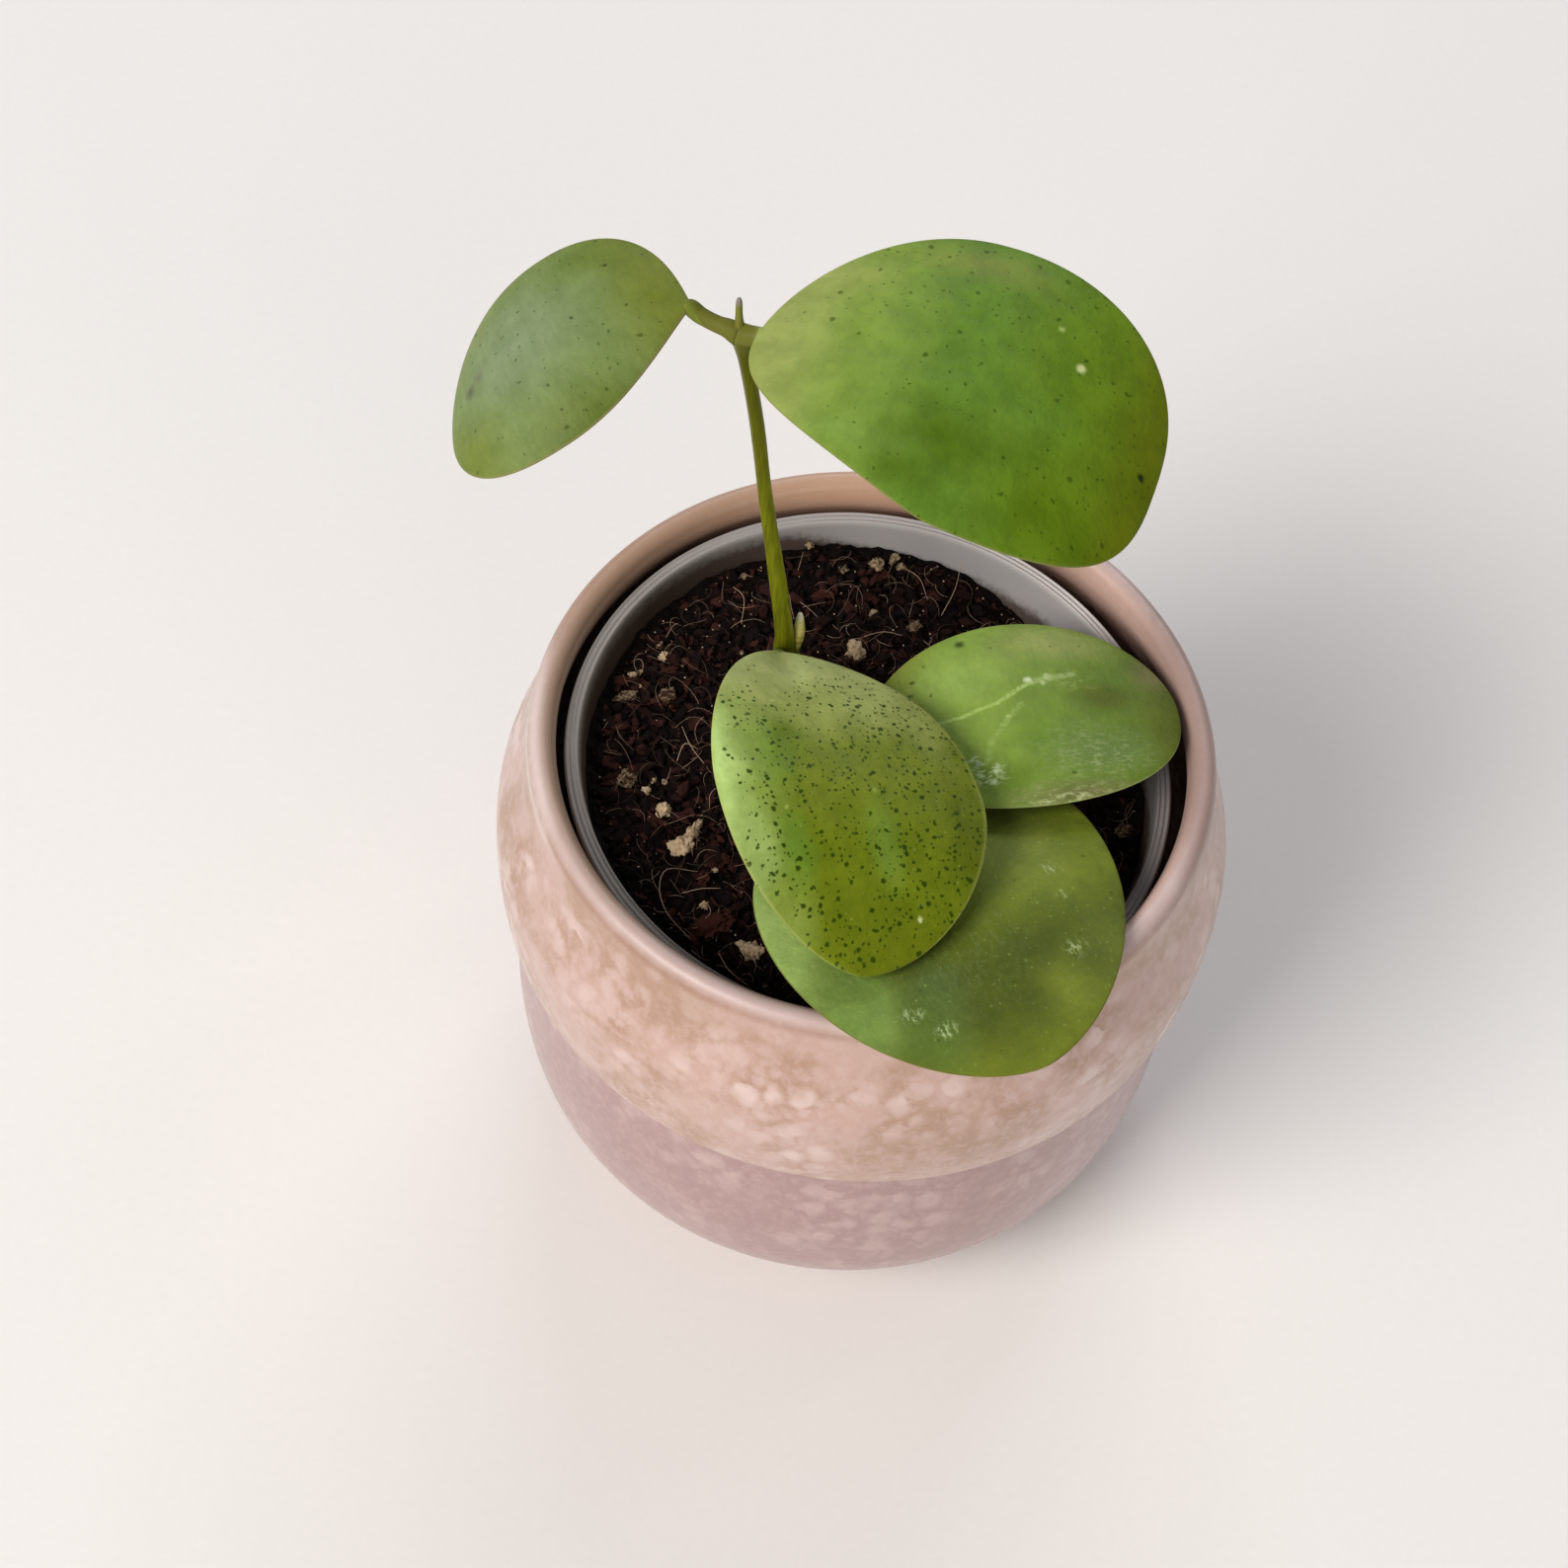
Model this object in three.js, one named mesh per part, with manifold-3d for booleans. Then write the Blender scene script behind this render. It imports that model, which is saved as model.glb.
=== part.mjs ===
// A young hoya vine in a 9 cm nursery pot, which stands in a glazed ceramic cachepot.
// Millimetres, +Z up. The origin is the middle of the cachepot's flat base.
import * as THREE from 'three';
import { mergeVertices } from 'three/addons/utils/BufferGeometryUtils.js';
import Module from 'manifold-3d';

const wasm = await Module();
wasm.setup();

// Driving dimensions of the pots
const GAP = 0.3;
const CACHEPOT_HEIGHT = 93.5;
const FOOT_RADIUS = 31;
const BOWL_RADIUS = 53.2;
const CREASE_HEIGHT = 54.8;
const CREASE_RADIUS = 51.5;
const BAND_RADIUS = 55.5;
const LIP_CREST_RADIUS = 48.4;
const OPENING_RADIUS = 46.1;
const CACHEPOT_FLOOR = 5;
const NURSERY_HEIGHT = 82.7;
const NURSERY_RADIUS = 45;
const NURSERY_BASE_RADIUS = 31.5;
const NURSERY_WALL = 0.8;
const RIM_WIDTH = 2.25;
const RIM_DEPTH = 5;
const DRAIN_HOLE_RADIUS = 3.5;
const DRAIN_HOLE_CIRCLE = 21;

// Driving dimensions of the plant
const BLADE_THICKNESS = 1.8;
const PETIOLE_RADIUS = 0.95;
const NODE_SWELLING = 0.45;
const SOIL_LEVEL = 81.2;

const NURSERY_BASE = CACHEPOT_FLOOR + GAP;
const NURSERY_TOP = NURSERY_BASE + NURSERY_HEIGHT;
const NURSERY_MOUTH_RADIUS = NURSERY_RADIUS - RIM_WIDTH;
const NURSERY_FLOOR = NURSERY_BASE + NURSERY_WALL;
const NURSERY_INNER_BASE_RADIUS = NURSERY_BASE_RADIUS - NURSERY_WALL;
const WALL_TAPER = (NURSERY_MOUTH_RADIUS - NURSERY_INNER_BASE_RADIUS) / (NURSERY_TOP - NURSERY_FLOOR);

const ROUND_SEGMENTS = 48;

const v2 = (radius, height) => new THREE.Vector2(radius, height);
const v3 = (x, y, z) => new THREE.Vector3(x, y, z);

// A closed solid of a geometry: shared corners merged, and flat slivers at the poles dropped
function solidOf(geometry) {
  const bare = geometry.clone();
  bare.deleteAttribute('normal');
  bare.deleteAttribute('uv');
  const merged = mergeVertices(bare, 1e-4);
  const corners = merged.index.array;
  const kept = [];
  for (let i = 0; i < corners.length; i += 3) {
    const [a, b, c] = [corners[i], corners[i + 1], corners[i + 2]];
    if (a !== b && b !== c && c !== a) kept.push(a, b, c);
  }
  const mesh = new wasm.Mesh({
    numProp: 3,
    vertProperties: new Float32Array(merged.attributes.position.array),
    triVerts: new Uint32Array(kept),
  });
  return new wasm.Manifold(mesh);
}

function geometryOf(solid) {
  const mesh = solid.getMesh();
  const geometry = new THREE.BufferGeometry();
  geometry.setAttribute('position', new THREE.BufferAttribute(new Float32Array(mesh.vertProperties), 3));
  geometry.setIndex(new THREE.BufferAttribute(new Uint32Array(mesh.triVerts), 1));
  return geometry;
}

// Seeded numbers between 0 and 1, the same on every run
function seededDraw(seed) {
  let state = seed;
  return () => {
    state = (state * 1664525 + 1013904223) % 4294967296;
    return state / 4294967296;
  };
}

// A solid of revolution about Z from a profile of (radius, height) points, bottom centre to top centre
function turned(profile) {
  return new THREE.LatheGeometry(profile, ROUND_SEGMENTS).rotateX(Math.PI / 2);
}

// A rod along a curve, whose radius changes along it; u runs from 0 to 1
function rod(curve, radiusAt, steps, sides = 8) {
  const frames = curve.computeFrenetFrames(steps, false);
  const geometry = new THREE.CylinderGeometry(1, 1, 1, sides, steps);
  const position = geometry.attributes.position;
  const point = new THREE.Vector3();
  for (let i = 0; i < position.count; i++) {
    const u = position.getY(i) + 0.5;
    const step = Math.round(u * steps);
    const radius = radiusAt(u);
    curve.getPointAt(u, point);
    point.addScaledVector(frames.normals[step], position.getX(i) * radius);
    point.addScaledVector(frames.binormals[step], -position.getZ(i) * radius);
    position.setXYZ(i, point.x, point.y, point.z);
  }
  return geometry;
}

// Cachepot: a bowl below, a wider bulging band above, a crease between them and a rounded lip
function cachepotProfile() {
  const bowl = new THREE.SplineCurve([
    v2(FOOT_RADIUS, 0), v2(36.8, 2.1), v2(43.6, 6.5), v2(48.9, 12.5), v2(52, 20), v2(BOWL_RADIUS, 30),
    v2(BOWL_RADIUS - 0.2, 40), v2(CREASE_RADIUS + 0.5, 51), v2(CREASE_RADIUS, CREASE_HEIGHT),
  ]);
  const band = new THREE.SplineCurve([
    v2(CREASE_RADIUS + 1.4, CREASE_HEIGHT + 0.3), v2(54.4, 56.6), v2(55.2, 61), v2(BAND_RADIUS, 67.5),
    v2(55, 74.5), v2(53.4, 79.5), v2(51.6, 84.5), v2(50.6, 89), v2(50.2, 91.6),
    v2(49.5, 93), v2(LIP_CREST_RADIUS, CACHEPOT_HEIGHT), v2(46.9, 92.8), v2(OPENING_RADIUS, 90.8),
  ]);
  const inside = new THREE.SplineCurve([
    v2(46.6, 88), v2(49, 81.5), v2(50.9, 74), v2(51.3, 66), v2(50.2, 59), v2(47.9, 53), v2(48.4, 44),
    v2(48.9, 32), v2(47.9, 22), v2(44.6, 13.5), v2(39.6, 8.2), v2(33.5, CACHEPOT_FLOOR),
  ]);
  return [
    v2(0, 0), ...bowl.getPoints(10), ...band.getPoints(15), ...inside.getPoints(10), v2(0, CACHEPOT_FLOOR),
  ];
}

// Nursery pot: thin tapered wall, and a turned-down rim with two fine ridges on its flat top
function nurseryProfile() {
  const outerWallTop = NURSERY_MOUTH_RADIUS + NURSERY_WALL * 0.6;
  return [
    v2(0, NURSERY_BASE),
    v2(NURSERY_BASE_RADIUS - 1, NURSERY_BASE),
    v2(NURSERY_BASE_RADIUS, NURSERY_BASE + 1),
    v2(outerWallTop, NURSERY_TOP - RIM_DEPTH),
    v2(NURSERY_RADIUS - 0.4, NURSERY_TOP - RIM_DEPTH),
    v2(NURSERY_RADIUS, NURSERY_TOP - 0.5),
    v2(NURSERY_RADIUS - 0.4, NURSERY_TOP),
    v2(NURSERY_RADIUS - 0.85, NURSERY_TOP - 0.25),
    v2(NURSERY_RADIUS - 1.25, NURSERY_TOP),
    v2(NURSERY_RADIUS - 1.7, NURSERY_TOP - 0.25),
    v2(NURSERY_MOUTH_RADIUS + 0.2, NURSERY_TOP),
    v2(NURSERY_MOUTH_RADIUS, NURSERY_TOP - 0.4),
    v2(NURSERY_INNER_BASE_RADIUS, NURSERY_FLOOR),
    v2(0, NURSERY_FLOOR),
  ];
}

function drainHole(x, y) {
  const hole = new THREE.CylinderGeometry(DRAIN_HOLE_RADIUS, DRAIN_HOLE_RADIUS, 4, 12).rotateX(Math.PI / 2);
  return solidOf(hole.translate(x, y, NURSERY_BASE));
}

function nurseryPot() {
  let pot = solidOf(turned(nurseryProfile())).subtract(drainHole(0, 0));
  for (let i = 0; i < 6; i++) {
    const angle = i * Math.PI / 3;
    pot = pot.subtract(drainHole(DRAIN_HOLE_CIRCLE * Math.cos(angle), DRAIN_HOLE_CIRCLE * Math.sin(angle)));
  }
  return pot;
}

// Stem: out of the soil, past the low node, to the node of the speckled leaf and up to the top pair
const STEM_PATH = new THREE.CatmullRomCurve3([
  v3(-6.4, 2.2, 66), v3(-6.6, 2.5, 73), v3(-7, 3.2, 80), v3(-8.2, 5, 86), v3(-10.9, 8.2, 90.2),
  v3(-13.7, 11.4, 94), v3(-14.4, 11.5, 99.7), v3(-15.4, 11.5, 107.5), v3(-16.5, 11.6, 115),
  v3(-18.6, 11.7, 129.5), v3(-20.3, 11.8, 143), v3(-21.8, 11.9, 152.3), v3(-22.9, 12, 158.4),
  v3(-23.2, 12, 160.6),
], false, 'centripetal');
const LOW_NODE = v3(-8.2, 5, 86);
const MIDDLE_NODE = v3(-13.7, 11.4, 94);
const TOP_NODE = v3(-23.2, 12, 160);
const STEM_STEPS = 52;
const STEM_LENGTH = STEM_PATH.getLength();

function stemRadius(u) {
  const taper = THREE.MathUtils.lerp(1.42, 0.95, THREE.MathUtils.smoothstep(u, 0.3, 0.75));
  const point = STEM_PATH.getPointAt(u);
  let swelling = 0;
  for (const node of [LOW_NODE, MIDDLE_NODE, TOP_NODE]) {
    swelling += NODE_SWELLING * Math.exp(-((point.distanceTo(node) / 1.9) ** 2));
  }
  const endDistance = Math.min(u, 1 - u) * STEM_LENGTH;
  return (taper + swelling) * Math.min(1, Math.sqrt((endDistance + 0.15) / 1.4));
}

// The stub of the shoot tip above the top pair
const SHOOT_TIP_PATH = new THREE.CatmullRomCurve3([
  v3(-23.2, 12, 159.6), v3(-23.6, 12.7, 161.7), v3(-23.9, 14.2, 164.2),
]);

function shootTipRadius(u) {
  return THREE.MathUtils.lerp(0.75, 0.36, Math.min(1, u * 1.6)) * (u > 0.95 ? 0.5 : 1);
}

function stemSolid(extra) {
  const stem = solidOf(rod(STEM_PATH, (u) => stemRadius(u) + extra, STEM_STEPS, 10));
  return stem.add(solidOf(rod(SHOOT_TIP_PATH, (u) => shootTipRadius(u) + extra, 6, 8)));
}

const STEM_CLEARANCE = stemSolid(GAP);

// Bud in the axil of the speckled leaf: a thin stalk and a pointed oval body
function axillaryBud() {
  const path = new THREE.CatmullRomCurve3([
    v3(-13.4, 11.5, 94.4), v3(-12.3, 11.7, 96), v3(-12.2, 12.2, 98.4), v3(-12.3, 13.6, 101.6),
  ]);
  const radiusAt = (u) => {
    if (u < 0.4) return 0.5;
    const along = (u - 0.4) / 0.6;
    return 0.15 + 0.8 * Math.sin(Math.PI * Math.min(1, 0.2 + along * 0.8)) ** 0.8;
  };
  return solidOf(rod(path, radiusAt, 12, 8)).subtract(STEM_CLEARANCE);
}

// Leaves. A blade lies along the line from base to tip, rolled about it. Each side has its half width,
// where along the leaf it is widest (0 base, 1 tip), and how blunt it is toward base and tip: a half
// width falls as (1 - distance ** power) ** fullness from the widest place. The crown is the rise of
// the midrib between the ends, the cup is the drop of the edges, the twist tilts the blade toward the
// tip, and the sweep bows the midrib sideways. The petiole runs from the stem to the blade's underside
// at the share of its length called join.
const LEAVES = {
  leaf_upper_left: {
    base: v3(-29.8, 16.5, 159.2), tip: v3(-59, 3.2, 141.1),
    roll: 4.4, crown: 5.9, cup: 2.6, twist: -2.3, sweep: 1.4,
    left: { half: 11.9, widest: 0.58, baseFullness: 1.04, tipFullness: 0.5, basePower: 2, tipPower: 2.2 },
    right: { half: 15.2, widest: 0.39, baseFullness: 0.36, tipFullness: 0.62, basePower: 2.8, tipPower: 2.45 },
    petiole: [v3(-23.2, 12, 159.4), v3(-26.8, 14, 158.7)], join: 0, colour: '#7c9668',
  },
  leaf_upper_right: {
    base: v3(-21.5, 9.9, 160.3), tip: v3(30.4, -2.1, 151.9),
    roll: -6.8, crown: 7.5, cup: 1.5, twist: -3.8, sweep: -2.1,
    left: { half: 22, widest: 0.46, baseFullness: 0.56, tipFullness: 0.34, basePower: 2.25, tipPower: 2.35 },
    right: { half: 21.4, widest: 0.51, baseFullness: 0.49, tipFullness: 0.39, basePower: 1.3, tipPower: 1.8 },
    petiole: [v3(-23.2, 12, 159.6), v3(-21.2, 12.2, 160.3)], join: 0.07, colour: '#72973a',
  },
  leaf_speckled: {
    base: v3(-15.4, 8.3, 99), tip: v3(1.6, -43.7, 97.7),
    roll: 11.5, crown: 6.5, cup: 1, twist: -3.4, sweep: -0.8,
    left: { half: 20.8, widest: 0.57, baseFullness: 0.58, tipFullness: 0.48, basePower: 2.75, tipPower: 1.7 },
    right: { half: 17.3, widest: 0.47, baseFullness: 0.57, tipFullness: 0.66, basePower: 1.75, tipPower: 2.05 },
    petiole: [v3(-13.7, 11.4, 94), v3(-14.8, 9.4, 96.4)], join: 0, colour: '#86a04c',
  },
  leaf_right: {
    base: v3(-0.7, 0.5, 89.5), tip: v3(44.4, 8.1, 93.4),
    roll: 3.8, crown: 3.2, cup: 1, twist: 0.4, sweep: -0.9,
    left: { half: 17.2, widest: 0.5, baseFullness: 0.47, tipFullness: 0.5, basePower: 2, tipPower: 2 },
    right: { half: 17.1, widest: 0.52, baseFullness: 0.46, tipFullness: 0.43, basePower: 2.1, tipPower: 1.85 },
    petiole: [v3(-9, 6, 87.4), v3(-5.4, 2.6, 88.6)], join: 0, colour: '#7ba04a',
  },
  leaf_lower: {
    base: v3(-1.5, -8, 86), tip: v3(25.4, -55, 98),
    roll: 0.6, crown: 1.8, cup: 0.6, twist: 0.2, sweep: -1,
    left: { half: 26.7, widest: 0.33, baseFullness: 0.5, tipFullness: 0.62, basePower: 2, tipPower: 2 },
    right: { half: 25.3, widest: 0.44, baseFullness: 0.34, tipFullness: 0.55, basePower: 2, tipPower: 2 },
    petiole: [v3(-7.8, 4.4, 84.6), v3(-8, -0.6, 84.6), v3(-5.2, -5.4, 85)], join: 0, colour: '#6f9150',
  },
};

function halfWidth(side, t) {
  const towardBase = t < side.widest;
  const distance = towardBase ? (side.widest - t) / side.widest : (t - side.widest) / (1 - side.widest);
  const power = towardBase ? side.basePower : side.tipPower;
  const fullness = towardBase ? side.baseFullness : side.tipFullness;
  return side.half * Math.max(0, 1 - distance ** power) ** fullness;
}

function leafFrame(leaf) {
  const along = leaf.tip.clone().sub(leaf.base);
  const length = along.length();
  along.normalize();
  const level = along.clone().cross(v3(0, 0, 1)).normalize();
  const up = level.clone().cross(along);
  const roll = THREE.MathUtils.degToRad(leaf.roll);
  const across = level.clone().multiplyScalar(Math.cos(roll)).addScaledVector(up, Math.sin(roll));
  const normal = up.clone().multiplyScalar(Math.cos(roll)).addScaledVector(level, -Math.sin(roll));
  return { along, across, normal, length };
}

// The middle surface of a blade: t runs from base to tip, s from -1 (left edge) to 1 (right edge)
function bladePoint(leaf, frame, t, s, offset) {
  const side = s < 0 ? leaf.left : leaf.right;
  const x = s * halfWidth(side, t);
  const share = x / side.half;
  const arch = 4 * t * (1 - t);
  const height = leaf.crown * arch - leaf.cup * share ** 2 + leaf.twist * share * (2 * t - 1) + offset;
  return leaf.base.clone()
    .addScaledVector(frame.along, t * frame.length)
    .addScaledVector(frame.across, x + leaf.sweep * arch)
    .addScaledVector(frame.normal, height);
}

const BLADE_AROUND = 20;
const BLADE_ALONG = 18;

// A blade is a ball pressed flat between its two poles, which become the leaf's base and tip
function blade(leaf, frame) {
  const geometry = new THREE.SphereGeometry(1, BLADE_AROUND, BLADE_ALONG);
  const position = geometry.attributes.position;
  for (let i = 0; i < position.count; i++) {
    const t = Math.min(1, Math.max(0, (1 - position.getY(i)) / 2));
    const ring = Math.hypot(position.getX(i), position.getZ(i));
    const s = ring > 1e-6 ? -position.getX(i) / ring : 0;
    const rise = ring > 1e-6 ? position.getZ(i) / ring : 0;
    const body = Math.sqrt(Math.abs(rise)) * (4 * t * (1 - t)) ** 0.3;
    const offset = Math.sign(rise) * BLADE_THICKNESS / 2 * body;
    const point = bladePoint(leaf, frame, t, s, offset);
    position.setXYZ(i, point.x, point.y, point.z);
  }
  return geometry;
}

// The petiole runs on under the blade as its midrib and fades out
function petioleAndMidrib(leaf, frame) {
  const underside = (t) => bladePoint(leaf, frame, t, 0, -0.5 * BLADE_THICKNESS);
  const joint = bladePoint(leaf, frame, leaf.join, 0, leaf.join > 0 ? -BLADE_THICKNESS : -0.1);
  const path = new THREE.CatmullRomCurve3([
    ...leaf.petiole, joint, underside(leaf.join + 0.09), underside(0.25), underside(0.42), underside(0.6),
  ], false, 'centripetal');
  const toBase = new THREE.CatmullRomCurve3([...leaf.petiole, joint], false, 'centripetal').getLength();
  const baseShare = toBase / path.getLength();
  const radiusAt = (u) => {
    const past = Math.max(0, (u - baseShare) / (1 - baseShare));
    const flare = 0.2 * Math.exp(-(((u - baseShare) / 0.08) ** 2));
    return Math.max(0.25, (PETIOLE_RADIUS + flare) * (1 - past) ** 0.6);
  };
  return rod(path, radiusAt, 16, 6);
}

function leafSolid(leaf) {
  const frame = leafFrame(leaf);
  const stalk = solidOf(petioleAndMidrib(leaf, frame)).subtract(STEM_CLEARANCE);
  return solidOf(blade(leaf, frame)).add(stalk);
}

// Soil: a tapered plug whose top dips toward the back right, with crumbs in relief
const SOIL_HOLLOW = { x: 28, y: 24, depth: 5.5, reach: 13 };
const SOIL_RINGS = 11;
const SOIL_RADIUS = 41.2;
const SOIL_BASE = NURSERY_FLOOR + GAP;

function soilHeight(x, y) {
  const tilt = -0.05 * x + 0.07 * y;
  const away = Math.hypot(x - SOIL_HOLLOW.x, y - SOIL_HOLLOW.y) / SOIL_HOLLOW.reach;
  const hollow = SOIL_HOLLOW.depth * Math.exp(-0.5 * away ** 2);
  const mounds = 0.5 * Math.sin(0.31 * x + 1.2) * Math.cos(0.27 * y - 0.4);
  const crumbs = 0.35 * Math.sin(0.93 * x + 0.6 * y) * Math.sin(0.81 * y - 0.37 * x + 2);
  return SOIL_LEVEL + tilt - hollow + mounds + crumbs;
}

function soilPlug() {
  const profile = [v2(0, SOIL_BASE), v2(NURSERY_INNER_BASE_RADIUS - 0.2, SOIL_BASE)];
  for (let ring = SOIL_RINGS; ring >= 0; ring--) {
    profile.push(v2(SOIL_RADIUS * ring / SOIL_RINGS, SOIL_LEVEL));
  }
  const geometry = turned(profile);
  const position = geometry.attributes.position;
  for (let i = 0; i < position.count; i++) {
    if (position.getZ(i) < SOIL_LEVEL - 1) continue;
    const x = position.getX(i);
    const y = position.getY(i);
    const z = soilHeight(x, y);
    const wallRadius = NURSERY_MOUTH_RADIUS - (NURSERY_TOP - z) * WALL_TAPER - GAP;
    const grow = wallRadius / SOIL_RADIUS;
    position.setXYZ(i, x * grow, y * grow, z);
  }
  return solidOf(geometry);
}

// A lump of perlite or bark: a rough ball, half sunk in the soil
function lump(x, y, length, width, height, turn) {
  const geometry = new THREE.IcosahedronGeometry(0.5, 0).scale(length, width, height);
  geometry.rotateZ(THREE.MathUtils.degToRad(turn));
  return solidOf(geometry.translate(x, y, soilHeight(x, y) + height * 0.12));
}

// The lumps that show in the open soil: place, length, width, height and turn in degrees
const SEEN_LUMPS = [
  [-26, -13, 5.6, 3.8, 3.4, 50], [-29.8, -8, 3, 2.6, 2.6, 0], [-34.6, -4, 3.2, 2.4, 2.4, 30],
  [-32.2, -6.6, 2.6, 2.2, 2.2, 70], [-3, 24, 4.2, 3, 3, 120], [1, 37.4, 4.4, 2.6, 2.6, 20],
  [-4.6, 35.4, 3, 2.2, 2.4, 80], [-20.5, -27, 5.4, 4.4, 3.6, 35], [-14.8, -30.6, 4.4, 3, 3, 150],
  [-32.8, 19.6, 2.6, 2.2, 2.2, 0], [37.4, -7, 3, 2.4, 2.4, 40], [10, 30, 3.4, 2.4, 2.6, 60],
];
const SCATTERED_LUMPS = 26;
const STEM_CLEARING = 8;
const STEM_HOLE_RADIUS = 1.9;

function soilSolid() {
  let soil = soilPlug();
  for (const [x, y, length, width, height, turn] of SEEN_LUMPS) {
    soil = soil.add(lump(x, y, length, width, height, turn));
  }
  const draw = seededDraw(90);
  for (let i = 0; i < SCATTERED_LUMPS; i++) {
    const radius = 38 * Math.sqrt(draw());
    const angle = 2 * Math.PI * draw();
    const size = 1.8 + 1.6 * draw();
    const turn = 360 * draw();
    const [x, y] = [radius * Math.cos(angle), radius * Math.sin(angle)];
    const nearStem = Math.hypot(x + 7, y) < STEM_CLEARING;
    if (!nearStem) soil = soil.add(lump(x, y, size * 1.3, size, size, turn));
  }
  const cutEnd = STEM_PATH.getPointAt(0);
  const holeEnd = new THREE.CylinderGeometry(STEM_HOLE_RADIUS, STEM_HOLE_RADIUS, 3, 12).rotateX(Math.PI / 2);
  holeEnd.translate(cutEnd.x, cutEnd.y, cutEnd.z + 1.5 - GAP);
  return soil.subtract(STEM_CLEARANCE).subtract(solidOf(holeEnd));
}

const plant = new THREE.Group();

function addPiece(name, solid, colour, roughness) {
  const material = new THREE.MeshStandardMaterial({ color: colour, roughness, metalness: 0 });
  const mesh = new THREE.Mesh(geometryOf(solid), material);
  mesh.name = name;
  plant.add(mesh);
}

addPiece('cachepot', solidOf(turned(cachepotProfile())), '#d6aea0', 0.2);
addPiece('nursery_pot', nurseryPot(), '#8f8c92', 0.45);
addPiece('soil', soilSolid(), '#2c1d18', 0.95);
addPiece('stem', stemSolid(0), '#7f8a34', 0.6);
addPiece('axillary_bud', axillaryBud(), '#a9ae66', 0.6);
for (const [name, leaf] of Object.entries(LEAVES)) {
  addPiece(name, leafSolid(leaf), leaf.colour, 0.5);
}

export default plant;
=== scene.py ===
"""A young hoya vine in a 9 cm nursery pot, which stands in a glazed stoneware cachepot.

Shapes are worked out in millimetres about the middle of the cachepot's base, with Z up, and every mesh
is brought to metres in one place, by placed().
"""
import random
from functools import partial
from math import copysign, cos, exp, hypot, pi, radians, sin, sqrt

import bmesh
import bpy
from mathutils import Matrix, Vector, noise


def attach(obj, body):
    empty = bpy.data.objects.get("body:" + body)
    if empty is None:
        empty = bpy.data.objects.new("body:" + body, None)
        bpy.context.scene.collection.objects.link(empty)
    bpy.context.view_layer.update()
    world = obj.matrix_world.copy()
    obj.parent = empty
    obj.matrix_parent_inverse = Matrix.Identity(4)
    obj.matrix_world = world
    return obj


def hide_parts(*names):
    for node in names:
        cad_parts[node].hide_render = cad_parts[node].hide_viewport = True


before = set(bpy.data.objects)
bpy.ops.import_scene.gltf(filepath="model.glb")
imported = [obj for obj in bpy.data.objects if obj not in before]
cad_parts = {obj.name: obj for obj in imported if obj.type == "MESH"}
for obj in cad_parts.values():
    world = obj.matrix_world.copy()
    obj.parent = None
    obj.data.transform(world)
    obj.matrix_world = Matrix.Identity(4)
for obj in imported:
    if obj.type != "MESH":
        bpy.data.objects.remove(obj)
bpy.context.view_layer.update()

MM = 0.001

# The pots
CACHEPOT_HEIGHT = 93.5
CACHEPOT_FLOOR = 5.0
BARE_FOOT = 0.3
NURSERY_BASE = 5.3
NURSERY_TOP = 88.0
NURSERY_RADIUS = 45.0
NURSERY_MOUTH_RADIUS = 42.75
NURSERY_BASE_RADIUS = 31.5
NURSERY_WALL = 0.8
NURSERY_RIM_DEPTH = 5.0
NURSERY_FLOOR = NURSERY_BASE + NURSERY_WALL
RIM_RIDGES = 3
RIDGE_HEIGHT = 0.13
RIM_ROUNDING = 0.45
DRAIN_RADIUS = 3.5
DRAIN_CIRCLE = 21
# The nursery pot leans from this height up: its rim rises by so much along x and y, from so much below
# where it would be upright
LEAN_START = 10
LEAN = Vector((-0.052, 0.042, -1.26))
WALL_TAPER = (NURSERY_MOUTH_RADIUS - NURSERY_BASE_RADIUS + NURSERY_WALL) / (NURSERY_TOP - NURSERY_FLOOR)
ROUND_STEPS = 240

# The soil
SOIL_LEVEL = 81.2
SOIL_RADIUS = 41.2
SOIL_HOLLOW = Vector((28, 24, 0))
HOLLOW_DEPTH = 5.5
HOLLOW_REACH = 13
CRUMBS = 6600
GRAINS = 50
TINY_GRAINS = 560
CHIPS = 520
HAIRS = 1300

# The camera stands where the photograph was taken from
CAMERA_PLACE = Vector((-12.3, -216.3, 396.9))
CAMERA_ELEVATION = 55.92
CAMERA_ROLL = 5.46
CAMERA_FOCAL_PIXELS = 2600
PHOTO_PIXELS = 1588
SENSOR = 36.0
FLOOR_REACH = 3000


# Curves and shapes

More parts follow.
